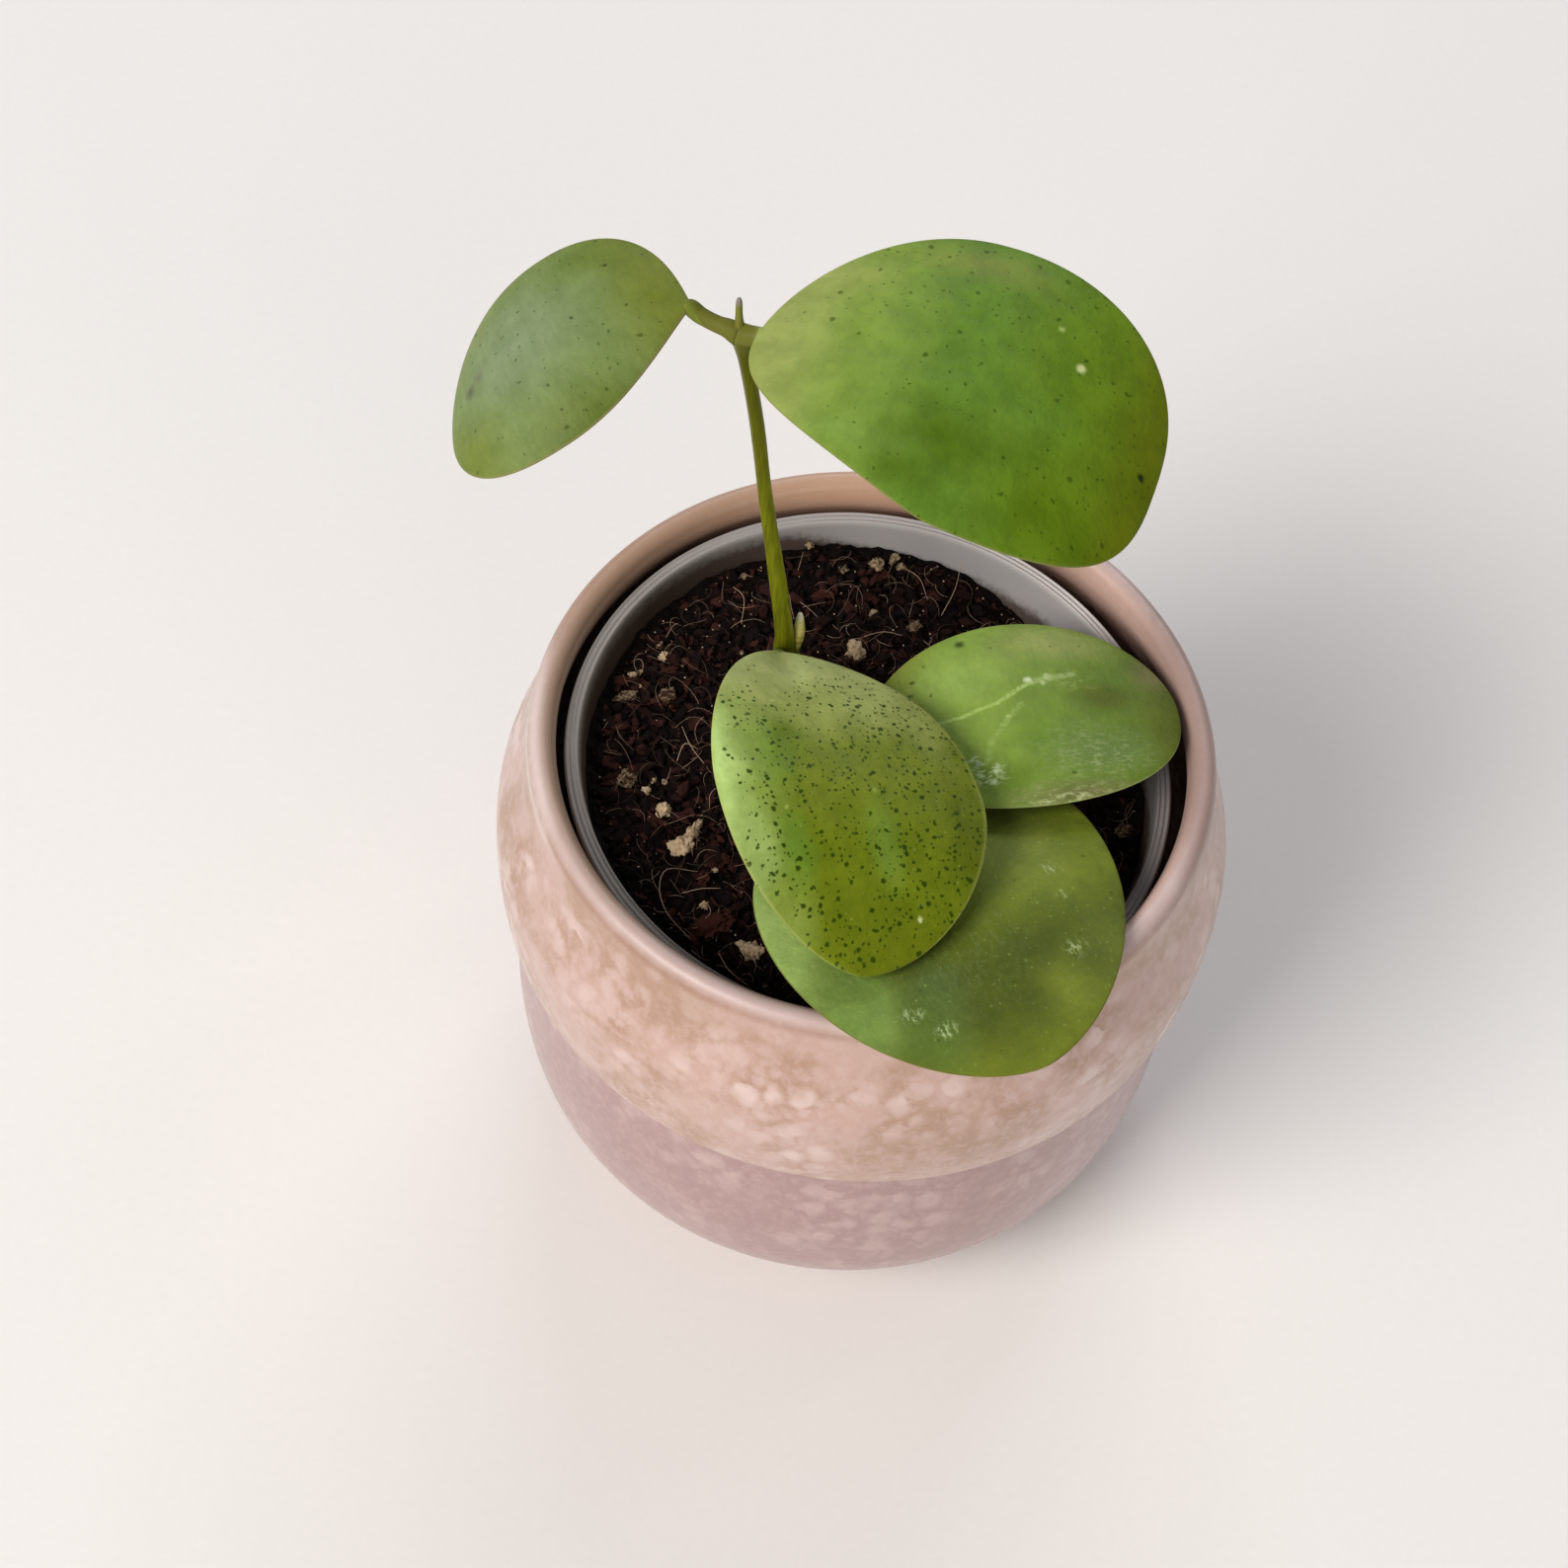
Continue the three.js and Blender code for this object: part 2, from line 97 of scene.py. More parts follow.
def smooth_path(points, steps):
    """Evenly spaced points along a centripetal Catmull-Rom curve through the given ones."""
    points = [Vector(point) for point in points]
    ends = [2 * points[0] - points[1], *points, 2 * points[-1] - points[-2]]
    dense = []
    for a, b, c, d in zip(ends, ends[1:], ends[2:], ends[3:]):
        before, here, after = [sqrt((q - p).length) for p, q in ((a, b), (b, c), (c, d))]
        leave = ((b - a) / before - (c - a) / (before + here) + (c - b) / here) * here
        arrive = ((c - b) / here - (d - b) / (here + after) + (d - c) / after) * here
        for i in range(24):
            t = i / 24
            bend = (2 * b - 2 * c + leave + arrive) * t ** 3 + (3 * c - 3 * b - 2 * leave - arrive) * t ** 2
            dense.append(bend + leave * t + b)
    dense.append(points[-1])
    reach = [0.0]
    for p, q in zip(dense, dense[1:]):
        reach.append(reach[-1] + (q - p).length)
    even = []
    at = 0
    for i in range(steps + 1):
        goal = reach[-1] * i / steps
        while at < len(dense) - 2 and reach[at + 1] < goal:
            at += 1
        share = (goal - reach[at]) / (reach[at + 1] - reach[at])
        even.append(dense[at].lerp(dense[at + 1], min(1, max(0, share))))
    return even


def smooth_profile(points, steps):
    """The same for a profile of (radius, height) points."""
    return [(p.x, p.z) for p in smooth_path([(radius, 0, height) for radius, height in points], steps)]


def spun(profile):
    """A closed solid of revolution about Z from a profile that starts and ends on the axis."""
    bm = bmesh.new()
    corners = [bm.verts.new((radius, 0, height)) for radius, height in profile]
    edges = [bm.edges.new(pair) for pair in zip(corners, corners[1:])]
    bmesh.ops.spin(bm, geom=corners + edges, axis=(0, 0, 1), cent=(0, 0, 0), angle=2 * pi,
                   steps=ROUND_STEPS, use_merge=True)
    bmesh.ops.remove_doubles(bm, verts=bm.verts, dist=0.001)
    bmesh.ops.recalc_face_normals(bm, faces=bm.faces)
    return bm


def sweep(bm, path, radius_at, sides, flat=1.0):
    """A rod with closed ends along a path, by one extrusion for each step."""
    steps = len(path) - 1
    ahead = [(path[min(i + 1, steps)] - path[max(i - 1, 0)]).normalized() for i in range(steps + 1)]
    turn = Vector((0, 0, 1)).rotation_difference(ahead[0])
    places = []
    for i, point in enumerate(path):
        if i:
            turn = ahead[i - 1].rotation_difference(ahead[i]) @ turn
        radius = radius_at(i / steps)
        size = Matrix.Diagonal((radius, radius * flat, radius, 1))
        places.append(Matrix.Translation(point) @ turn.to_matrix().to_4x4() @ size)
    made = bmesh.ops.create_circle(bm, cap_ends=True, radius=1, segments=sides, matrix=places[0])
    face = made["verts"][0].link_faces[0]
    if face.normal.dot(ahead[0]) < 0:
        face.normal_flip()
    for before, after in zip(places, places[1:]):
        made = bmesh.ops.extrude_face_region(bm, geom=[face])
        face = next(item for item in made["geom"] if isinstance(item, bmesh.types.BMFace))
        bmesh.ops.transform(bm, matrix=after @ before.inverted(), verts=face.verts)


def absorb(bm, part):
    """Moves all that another bmesh holds into this one."""
    mesh = bpy.data.meshes.new("part")
    part.to_mesh(mesh)
    part.free()
    bm.from_mesh(mesh)
    bpy.data.meshes.remove(mesh)


def placed(name, bm):
    """An object at the origin with the bmesh, brought to metres, as its mesh."""
    bmesh.ops.scale(bm, vec=(MM, MM, MM), verts=bm.verts)
    mesh = bpy.data.meshes.new(name)
    bm.to_mesh(mesh)
    bm.free()
    made = bpy.data.objects.new(name, mesh)
    bpy.context.scene.collection.objects.link(made)
    return made


def piece(name, bm, skin, slot, *nodes):
    """A smooth piece on the part's one body, which may replace CAD nodes."""
    made = placed(name, bm)
    made.data.shade_smooth()
    made.data.materials.append(skin)
    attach(made, "root")
    if nodes:
        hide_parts(*nodes)
    return made


# Materials

# The sockets that a kind of node takes its values on, in the order they are given in, where these aren't
# simply its first ones; then the options and the output that a kind starts with
SOCKETS = {"Mix": (0, 6, 7), "TexNoise": (0, 2, 3, 4), "TexVoronoi": (0, 2),
           "Bump": ("Height", "Distance", "Normal")}
OPTIONS = {"Mix": {"data_type": "RGBA"}, "MapRange": {"interpolation_type": "SMOOTHSTEP"},
           "Math": {"operation": "MULTIPLY"}, "VectorMath": {"operation": "MULTIPLY"}}
OUTPUTS = {"Mix": 2}


def colour(code):
    """An sRGB hex colour as linear RGBA."""
    parts = [int(code[i:i + 2], 16) / 255 for i in (1, 3, 5)]
    return (*[c / 12.92 if c <= 0.04045 else ((c + 0.055) / 1.055) ** 2.4 for c in parts], 1)


def node(tree, kind, *values, out=None, named=None, **options):
    """Adds a node with its options, fills its sockets with values or links, and returns one output."""
    made = tree.nodes.new("ShaderNode" + kind)
    for key, value in (OPTIONS.get(kind, {}) | options).items():
        setattr(made, key, value)
    filled = dict(zip(SOCKETS.get(kind, range(len(values))), values)) | (named or {})
    for key, value in filled.items():
        if isinstance(value, bpy.types.NodeSocket):
            tree.links.new(value, made.inputs[key])
        else:
            made.inputs[key].default_value = colour(value) if isinstance(value, str) else value
    return made.outputs[OUTPUTS.get(kind, 0) if out is None else out] if made.outputs else made


def material(name, looks_of, *values):
    """A material whose surface has the looks that a function works out, by adding nodes to its tree."""
    made = bpy.data.materials.new(name)
    made.use_nodes = True
    made.node_tree.nodes.clear()
    add = partial(node, made.node_tree)
    add("OutputMaterial", add("BsdfPrincipled", named=looks_of(add, *values)))
    return made


def object_mm(add):
    """Object coordinates in millimetres."""
    return add("VectorMath", add("TexCoord", out="Object"), (1000,) * 3)


def wobbled(add, place, size, reach):
    """The place pushed about by noise, so that outlines drawn with it aren't geometric."""
    push = add("TexNoise", place, 1 / size, 3.0, out="Color")
    centred = add("VectorMath", push, (0.5, 0.5, 0.5), operation="SUBTRACT")
    scaled = add("VectorMath", centred, reach)
    return add("VectorMath", place, scaled, operation="ADD")


def soft_spot(add, place, centre, reach, strength):
    """A soft oval spot: strength at its centre and nothing past its reach along each axis."""
    off = add("VectorMath", place, (*centre, 0), operation="SUBTRACT")
    share = add("VectorMath", off, (*reach, 1), operation="DIVIDE")
    away = add("VectorMath", share, out=1, operation="LENGTH")
    return add("MapRange", away, 0.0, 1.0, strength, 0.0)


def scratch(add, place, start, end, width):
    """A line of a given width from start to end."""
    run = Vector((end[0] - start[0], end[1] - start[1], 0))
    off = add("VectorMath", place, (*start, 0), operation="SUBTRACT")
    dot = add("VectorMath", off, run, out=1, operation="DOT_PRODUCT")
    share = add("Math", dot, 1 / run.length_squared, use_clamp=True)
    foot = add("VectorMath", run, named={"Scale": share}, operation="SCALE")
    gap = add("VectorMath", off, foot, out=1, operation="DISTANCE")
    return add("MapRange", gap, 0.2 * width, 0.6 * width, 1.0, 0.0)


def flecks(add, place, spacing, radius, share, density=1.0):
    """Flecks at scattered places: one in each cell of the spacing, kept in the given share of cells."""
    cells = add("TexVoronoi", place, 1 / spacing, out="Distance", voronoi_dimensions="2D")
    draw = add("SeparateColor", cells.node.outputs["Color"])
    size = add("MapRange", draw.node.outputs[1], 0.0, 1.0, 0.45 * radius / spacing, radius / spacing)
    nearness = add("Math", cells, size, operation="DIVIDE")
    dot = add("MapRange", nearness, 0.6, 1.2, 1.0, 0.0)
    wanted = add("Math", density, share)
    kept = add("Math", draw, wanted, operation="LESS_THAN")
    return add("Math", dot, kept)


GLAZE_PEACH = "#c3a398"
GLAZE_TAN = "#ae8c77"
GLAZE_MAUVE = "#a98b8a"
GLAZE_CRYSTAL = "#ddc6c0"
GLAZE_PINK = "#cfb3ae"
GLAZE_LIP = "#d0bcba"
# Painted light and shade at the back of the upper zone: darker brown toward the back left, lighter warm tan
# toward the back right
GLAZE_BACK_LIGHT_AND_SHADE = ("#a9866c", "#e0b496")
GLAZE_INNER = "#d2b0a4"
# Brown of the painted shade lines in the crease and along the lip
GLAZE_PAINTED_SHADE = "#8d6a57"
# Painted shade on the inner side of the lip at the left, which is turned away from the light
LIP_INNER_LEFT_SHADE = "#ab8c74"
# Painted shade and painted highlight: the lip is darker on its right, which is turned from the light, and
# whiter on its left, where the light catches it: where that starts and is full, how much, and tint
LIP_SIDE_SHADE_AND_HIGHLIGHT = ((38.5, 46.5, 0.85, "#9f857d"), (-45.5, -48.8, 0.85, "#decbc6"))
# Heights between which the bowl's dipped glaze, the plain strip over the band and the lip's glaze come in
DIP_EDGE = (56.0, 53.5)
PLAIN_EDGE = (82.0, 87.5)
LIP_EDGE = (91.6, 93.0)
# Painted shade: brown lines in the crease under the band and along the outer edge of the lip: from, to and
# strength
CREASE_AND_LIP_SHADE_LINES = ((53.6, 56.4, 0.8), (90.4, 93.4, 0.45))
# Crystals: size, how far their outlines are pushed about, where a cell's edge is, and how many are chosen
CRYSTALS = ((4.4, 3.6, 0.66, 0.6), (2.2, 2.6, 0.7, 0.7))


def reactive_glaze(add):
    """Reactive stoneware glaze under a clear gloss: pink-white crystals in peach, the dipped bowl mauve,
    with painted light and shade at the back and sides of the lip and painted shade in the crease.
    """
    place = object_mm(add)
    height = add("SeparateXYZ", place, out=2)
    drifts = add("MapRange", add("TexNoise", place, 1 / 16, 3.0), 0.4, 0.58, 0.2, 1.1)
    crystals = []
    for size, push, low, most in CRYSTALS:
        loose = wobbled(add, place, 0.8 * size, (push,) * 3)
        cells = add("TexVoronoi", loose, 1 / size, named={"Smoothness": 0.2}, feature="SMOOTH_F1")
        drawn = add("SeparateColor", cells.node.outputs["Color"])
        grown = add("Math", add("MapRange", cells, low, 0.24), add("MapRange", drawn, 0.1, most))
        crystals.append(add("Math", grown, drifts))
    clouded = add("TexNoise", place, 1 / 1.6, 5.0, 0.62)
    crystals.append(add("MapRange", clouded, 0.46, 0.64))
    from_axis = add("VectorMath", place, (1, 1, 0))
    radius = add("VectorMath", from_axis, out=1, operation="LENGTH")
    inside = add("MapRange", radius, 48.2, 46.8)
    past_foot = add("Math", height, -1.05, radius, operation="MULTIPLY_ADD")
    inside = add("Math", inside, add("MapRange", past_foot, 34.5, 33.5))
    dipped = add("MapRange", height, *DIP_EDGE)
    lip = add("MapRange", height, *LIP_EDGE)
    plain = add("Math", add("MapRange", height, *PLAIN_EDGE), lip, operation="SUBTRACT")
    quiet = add("Math", dipped, 0.7, add("Math", plain, 0.75), operation="MULTIPLY_ADD", use_clamp=True)
    drift = add("MapRange", add("TexNoise", place, 1 / 12, 5.0, 0.6), 0.4, 0.6)
    tone = add("Mix", drift, GLAZE_PEACH, GLAZE_TAN)
    tone = add("Mix", dipped, tone, GLAZE_MAUVE)
    tone = add("Mix", add("Math", lip, 0.7), tone, GLAZE_LIP)
    layers = zip(crystals, (GLAZE_CRYSTAL, GLAZE_PINK, GLAZE_PINK), (0.85, 0.65, 0.4))
    for crystal, tint, strength in layers:
        shown = add("MapRange", quiet, 0.0, 1.0, strength, 0.15)
        tone = add("Mix", add("Math", crystal, shown), tone, tint)
    tone = add("Mix", add("Math", inside, 0.85), tone, GLAZE_INNER)
    # Painted light and shade: the back of the lip and the wall under it are tinted darker brown on the left
    # and lighter tan on the right
    spot = add("SeparateXYZ", place)
    warm = add("Mix", add("MapRange", spot, -40.0, -4.0), *GLAZE_BACK_LIGHT_AND_SHADE)
    behind = add("MapRange", spot.node.outputs[1], -6.0, 24.0, 0.0, 0.85)
    behind = add("Math", behind, add("MapRange", height, 84.0, 91.0))
    behind = add("Math", behind, add("MapRange", spot, 36.0, 10.0))
    tone = add("Mix", behind, tone, warm)
    aside = add("VectorMath", place, (0.99, 0.14, 0), out=1, operation="DOT_PRODUCT")
    upper = add("MapRange", height, 88.5, 92.0)
    # Painted shade on the lip's right and a painted highlight on its left
    for low, high, most, tint in LIP_SIDE_SHADE_AND_HIGHLIGHT:
        share = add("MapRange", aside, low, high, 0.0, most)
        tone = add("Mix", add("Math", share, upper), tone, tint)
    # Painted shade: the inner side of the lip at the left is tinted brown
    inner_lip_shade = add("MapRange", radius, 49.2, 47.6, 0.0, add("MapRange", aside, -30.0, -42.0, 0.0, 0.8))
    tone = add("Mix", add("Math", inner_lip_shade, upper), tone, LIP_INNER_LEFT_SHADE)
    speckle = add("TexNoise", place, 1 / 0.9, 4.0, 0.7)
    grain = add("Mix", speckle, (0.78, 0.74, 0.72, 1), (1.18, 1.2, 1.22, 1))
    tone = add("Mix", 0.3, tone, grain, blend_type="MULTIPLY")
    outside = add("MapRange", radius, 48.4, 49.2)
    uneven = add("Math", outside, add("MapRange", clouded, 0.3, 0.6, 0.5, 1.0))
    # Painted shade lines in the crease and along the lip's outer edge
    for low, high, strength in CREASE_AND_LIP_SHADE_LINES:
        middle = 0.5 * (low + high)
        line = add("Math", add("MapRange", height, low, middle), add("MapRange", height, high, middle))
        line = add("Math", add("Math", line, uneven), strength)
        tone = add("Mix", line, tone, GLAZE_PAINTED_SHADE)
    relief = add("Bump", add("TexNoise", place, 1 / 7, 2.0), 0.1 * MM)
    relief = add("Bump", crystals[0], 0.03 * MM, relief)
    rough = add("MapRange", lip, 0.0, 1.0, 0.24, 0.4)
    return {"Base Color": tone, "Roughness": rough, "IOR": 1.5, "Normal": relief}


def bare_stoneware(add):
    """Biscuit stoneware, wiped clean of glaze at the foot: matt, cream, with fine grog."""
    grit = add("TexNoise", object_mm(add), 1 / 0.9, 4.0, 0.7)
    tone = add("Mix", grit, "#cdbba4", "#e2d5c2")
    return {"Base Color": tone, "Roughness": 0.85, "Normal": add("Bump", grit, 0.08 * MM)}


def grey_polypropylene(add):
    """Injection moulded polypropylene, a little translucent: milky grey, brown with dust by the soil, with
    painted light and shade and a painted highlight on the rim.
    """
    place = object_mm(add)
    upright = add("VectorMath", place, (-LEAN.x, -LEAN.y, 1), out=1, operation="DOT_PRODUCT")
    height = add("Math", upright, LEAN.z, operation="SUBTRACT")
    # Painted light and shade: the side toward the back right, which the light reaches, is painted lighter,
    # and the front left, in the lip's shadow, darker grey
    side = add("VectorMath", place, (0.64, 0.77, 0), out=1, operation="DOT_PRODUCT")
    clean = add("MapRange", side, -6.0, 36.0)
    haze = add("MapRange", add("TexNoise", place, 1 / 14, 2.0), 0.3, 0.7)
    tone = add("Mix", haze, "#7b746e", "#88817b")
    tone = add("Mix", clean, tone, "#b1adae")
    # Painted highlight: the rim's top edge is painted lighter, more so on the lit back-right side
    shine = add("MapRange", side, -12.0, 34.0, 0.28, 0.4)
    rim = add("MapRange", height, NURSERY_TOP - 1.2, NURSERY_TOP - 0.1, 0.0, shine)
    tone = add("Mix", rim, tone, "#d6d2d2")
    # Painted shade: the front right, under the right leaf, is painted darker grey
    front_right_shade = add("VectorMath", place, (0.94, -0.34, 0), out=1, operation="DOT_PRODUCT")
    tone = add("Mix", add("MapRange", front_right_shade, 22.0, 42.0, 0.0, 0.75), tone, "#6b6664")
    crust = add("TexNoise", place, 1 / 1.2, 5.0, 0.7)
    level = add("MapRange", side, 18.0, 36.0, 86.4, 82.0)
    ragged = add("Math", crust, 3.0, level, operation="MULTIPLY_ADD")
    below = add("Math", ragged, height, operation="SUBTRACT")
    dust = add("MapRange", below, 0.4, 3.0, 0.0, 0.88)
    tone = add("Mix", dust, tone, "#453329")
    rough = add("MapRange", haze, 0.0, 1.0, 0.36, 0.46)
    return {"Base Color": tone, "Roughness": rough, "IOR": 1.49, "Subsurface Weight": 0.1,
            "Subsurface Scale": 0.002, "Normal": add("Bump", dust, 0.02 * MM)}


def soil_mix(add, dark, light, grain, relief, spread, rough=0.9):
    """Potting mix and what is in it: a matt crumb whose tone differs from lump to lump, with fine grain."""
    tone_of_lump = add("Attribute", out="Fac", attribute_name="tone")
    grains = add("TexNoise", object_mm(add), 1 / grain, 5.0, 0.65)
    mixed = add("Math", grains, spread, tone_of_lump, operation="MULTIPLY_ADD")
    share = add("MapRange", mixed, 0.45 * spread, 0.9 + 0.5 * spread)
    tone = add("Mix", share, dark, light)
    return {"Base Color": tone, "Roughness": rough, "Specular IOR Level": 0.15,
            "Normal": add("Bump", grains, relief * MM)}


STEM_GREEN = "#9a9e18"
STEM_OLIVE = "#787c16"
STEM_BROWN = "#5a5d0b"
STALK_OLIVE = "#72762b"
STALK_BROWN = "#615f28"


def vine_bark(add):
    """Young hoya stem: smooth waxy green skin, browner toward the tip, with dark pores."""
    place = object_mm(add)
    height = add("SeparateXYZ", place, out=2)
    drawn_out = add("VectorMath", place, (1, 1, 0.1))
    streaks = add("TexNoise", drawn_out, 1 / 0.5, 3.0)
    tone = add("Mix", add("MapRange", streaks, 0.3, 0.7), STEM_GREEN, STEM_OLIVE)
    tone = add("Mix", add("MapRange", height, 112.0, 158.0, 0.0, 0.9), tone, STEM_BROWN)
    tone = add("Mix", add("MapRange", height, 155.5, 158.5), tone, STALK_OLIVE)
    tone = add("Mix", add("MapRange", height, 104.0, 96.0, 0.0, 0.5), tone, STEM_OLIVE)
    tone = add("Mix", add("MapRange", height, 162.9, 163.7), tone, "#857f78")
    pores = flecks(add, place, 1.4, 0.16, 0.4)
    tone = add("Mix", add("Math", pores, 0.6), tone, "#474d0e")
    return {"Base Color": tone, "Roughness": 0.42, "Specular IOR Level": 0.3,
            "Normal": add("Bump", streaks, 0.06 * MM)}


def bud_skin(add):
    """Axillary bud: tender yellow-green scales, dry and whitish at the tip."""
    place = object_mm(add)
    height = add("SeparateXYZ", place, out=2)
    patches = add("TexNoise", place, 1 / 0.8, 2.0)
    tone = add("Mix", add("MapRange", patches, 0.35, 0.65), "#c4b952", "#e0d68d")
    tone = add("Mix", add("MapRange", height, 100.2, 101.4), tone, "#e9e4cc")
    return {"Base Color": tone, "Roughness": 0.5, "Specular IOR Level": 0.3,
            "Normal": add("Bump", patches, 0.1 * MM)}


def leaf_place(add):
    """Where a point lies on its leaf: millimetres along it from the base, and across it from the midrib."""
    flat = add("UVMap", uv_map="leaf")
    spread = add("VectorMath", flat, (LEAF_UV_SPAN, LEAF_UV_SPAN, 0))
    return add("VectorMath", spread, (0, LEAF_UV_SPAN / 2, 0), operation="SUBTRACT")


def leaf_skin(add, looks):
    """Hoya leaf: thick flesh under a satin waxy cuticle, with a thin rim, flecks and scuffs."""
    place = leaf_place(add)
    loose = wobbled(add, place, 8.0, (4.4, 4.4, 0))
    shaky = wobbled(add, place, 1.2, (0.8, 0.8, 0))
    rim = add("SeparateXYZ", add("Attribute", out="Vector", attribute_name="skin"))
    below, stalk = rim.node.outputs[1], rim.node.outputs[2]
    along = add("SeparateXYZ", loose)
    tone = looks["tones"][0]
    for tint, start, end in looks["tones"][1:]:
        tone = add("Mix", add("MapRange", along, start, end), tone, tint)
    # The washes carry painted light, shade and sheen as well as the leaf's own colour
    for tint, centre, reach, strength in looks["washes"]:
        tone = add("Mix", soft_spot(add, loose, centre, reach, strength), tone, tint)

    mottle = add("MapRange", add("TexNoise", place, 1 / 5.0, 4.0, 0.6), 0.3, 0.7)
    blotch = add("Mix", mottle, (0.80, 0.82, 0.76, 1), (1.14, 1.11, 1.18, 1))
    tone = add("Mix", looks["mottle"], tone, blotch, blend_type="MULTIPLY")
    drawn_out = add("VectorMath", place, (1.0, 0.4, 0))
    grain = add("TexNoise", drawn_out, 1 / 0.9, 4.0, 0.7)
    vein = add("Mix", grain, (0.72, 0.74, 0.7, 1), (1.23, 1.2, 1.28, 1))
    tone = add("Mix", looks["grain"], tone, vein, blend_type="MULTIPLY")

    density = add("MapRange", add("TexNoise", place, 1 / 7.0, 1.0), 0.35, 0.6, 0.35, 1.2)
    for centre, reach in looks.get("clear", ()):
        cleared = soft_spot(add, loose, centre, reach, 1.3)
        density = add("Math", density, cleared, operation="SUBTRACT")
    for kind, tint, most in (("flecks", FLECK_TINT, density), ("pores", PORE_TINT, 1.0)):
        for spacing, radius, share, strength in looks.get(kind, ()):
            dots = flecks(add, shaky, spacing, radius, share, most)
            tone = add("Mix", add("Math", dots, strength), tone, tint)
    for tint, centre, radius, strength in looks["spots"]:
        tone = add("Mix", soft_spot(add, shaky, centre, (radius, radius), strength), tone, tint)
    broken = add("MapRange", add("TexNoise", place, 1 / 0.8, 3.0, 0.7), 0.35, 0.58, 0.3, 1.0)
    for tint, start, end, width, strength in looks.get("scratches", ()):
        line = add("Math", scratch(add, shaky, start, end, width), broken)
        tone = add("Mix", add("Math", line, strength), tone, tint)
    rubbed = add("VectorMath", place, (0.7, 1.5, 0))
    worn = add("MapRange", add("TexNoise", rubbed, 1 / 1.1, 5.0, 0.8), 0.48, 0.62)
    for tint, centre, reach, strength in looks.get("scuffs", ()):
        area = soft_spot(add, loose if reach[0] > 5 else shaky, centre, reach, strength)
        tone = add("Mix", add("Math", worn, area, use_clamp=True), tone, tint)

    edge = add("MapRange", rim, 0.25, 0.05, 0.0, looks["rim"][1])
    tone = add("Mix", edge, tone, looks["rim"][0])
    under = add("Mix", mottle, "#6c7d34", "#82924a")
    tone = add("Mix", below, tone, under)
    bark = add("Mix", mottle, STALK_OLIVE, STALK_BROWN)
    tone = add("Mix", stalk, tone, bark)
    rough = add("MapRange", mottle, 0.0, 1.0, looks["gloss"], looks["gloss"] + 0.1)
    relief = add("Bump", mottle, 0.14 * MM, add("Bump", grain, 0.05 * MM))
    return {"Base Color": tone, "Roughness": rough, "Specular IOR Level": 0.1, "Subsurface Weight": 0.05,
            "Subsurface Scale": 0.001, "Normal": relief}


# The cachepot: bowl, crease, bulging band and rounded lip

def cachepot():
    bowl = smooth_profile([(31, 0), (36.8, 2.1), (43.6, 6.5), (48.9, 12.5), (52, 20), (53.2, 30), (53, 40),
                           (52, 51), (51.5, 54.8)], 34)
    band = smooth_profile([(52.9, 55.1), (54.4, 56.6), (55.2, 61), (55.5, 67.5), (55, 74.5), (53.4, 79.5),
                           (51.6, 84.5), (50.6, 89), (50.2, 91.6), (49.5, 93), (48.4, CACHEPOT_HEIGHT),
                           (46.9, 92.8), (46.1, 90.8)], 60)
    inside = smooth_profile([(46.6, 88), (49, 81.5), (50.9, 74), (51.3, 66), (50.2, 59), (47.9, 53),
                             (48.4, 44), (48.9, 32), (47.9, 22), (44.6, 13.5), (39.6, 8.2),
                             (33.5, CACHEPOT_FLOOR)], 40)
    bm = spun([(0, 0), (30.4, 0), *bowl, *band, *inside, (0, CACHEPOT_FLOOR)])
    glaze = material("reactive glaze on stoneware, dipped", reactive_glaze)
    pot = piece("cachepot_glazed", bm, glaze, "glazed_stoneware", "cachepot")
    pot.data.materials.append(material("unglazed stoneware, wiped foot", bare_stoneware))
    for face in pot.data.polygons:
        if face.center.z < BARE_FOOT * MM:
            face.material_index = 1


# The nursery pot: tapered wall, turned-down rim with fine ridges on top, floor with drain holes

def nursery_rim():
    """The rim's top from outside to inside: ridges with shallow grooves between them."""
    width = NURSERY_RADIUS - NURSERY_MOUTH_RADIUS
    points = []
    for i in range(29):
        share = i / 28
        ridge = RIDGE_HEIGHT * cos(RIM_RIDGES * 2 * pi * (share - 0.5 / RIM_RIDGES))
        edge = RIM_ROUNDING * (2 * abs(share - 0.5)) ** 10
        points.append((NURSERY_RADIUS - width * share, NURSERY_TOP - RIDGE_HEIGHT + ridge - edge))
    return points


def lean(x, y):
    return LEAN.x * x + LEAN.y * y + LEAN.z


def drain_holes():
    """Pegs to cut the holes with: one in the middle and a circle of six."""
    bm = bmesh.new()
    angles = [k * pi / 3 for k in range(6)]
    for x, y in [(0, 0)] + [(DRAIN_CIRCLE * cos(a), DRAIN_CIRCLE * sin(a)) for a in angles]:
        bmesh.ops.create_cone(bm, cap_ends=True, segments=32, radius1=DRAIN_RADIUS, radius2=DRAIN_RADIUS,
                              depth=4, matrix=Matrix.Translation((x, y, NURSERY_BASE)))
    return placed("drain_holes", bm)


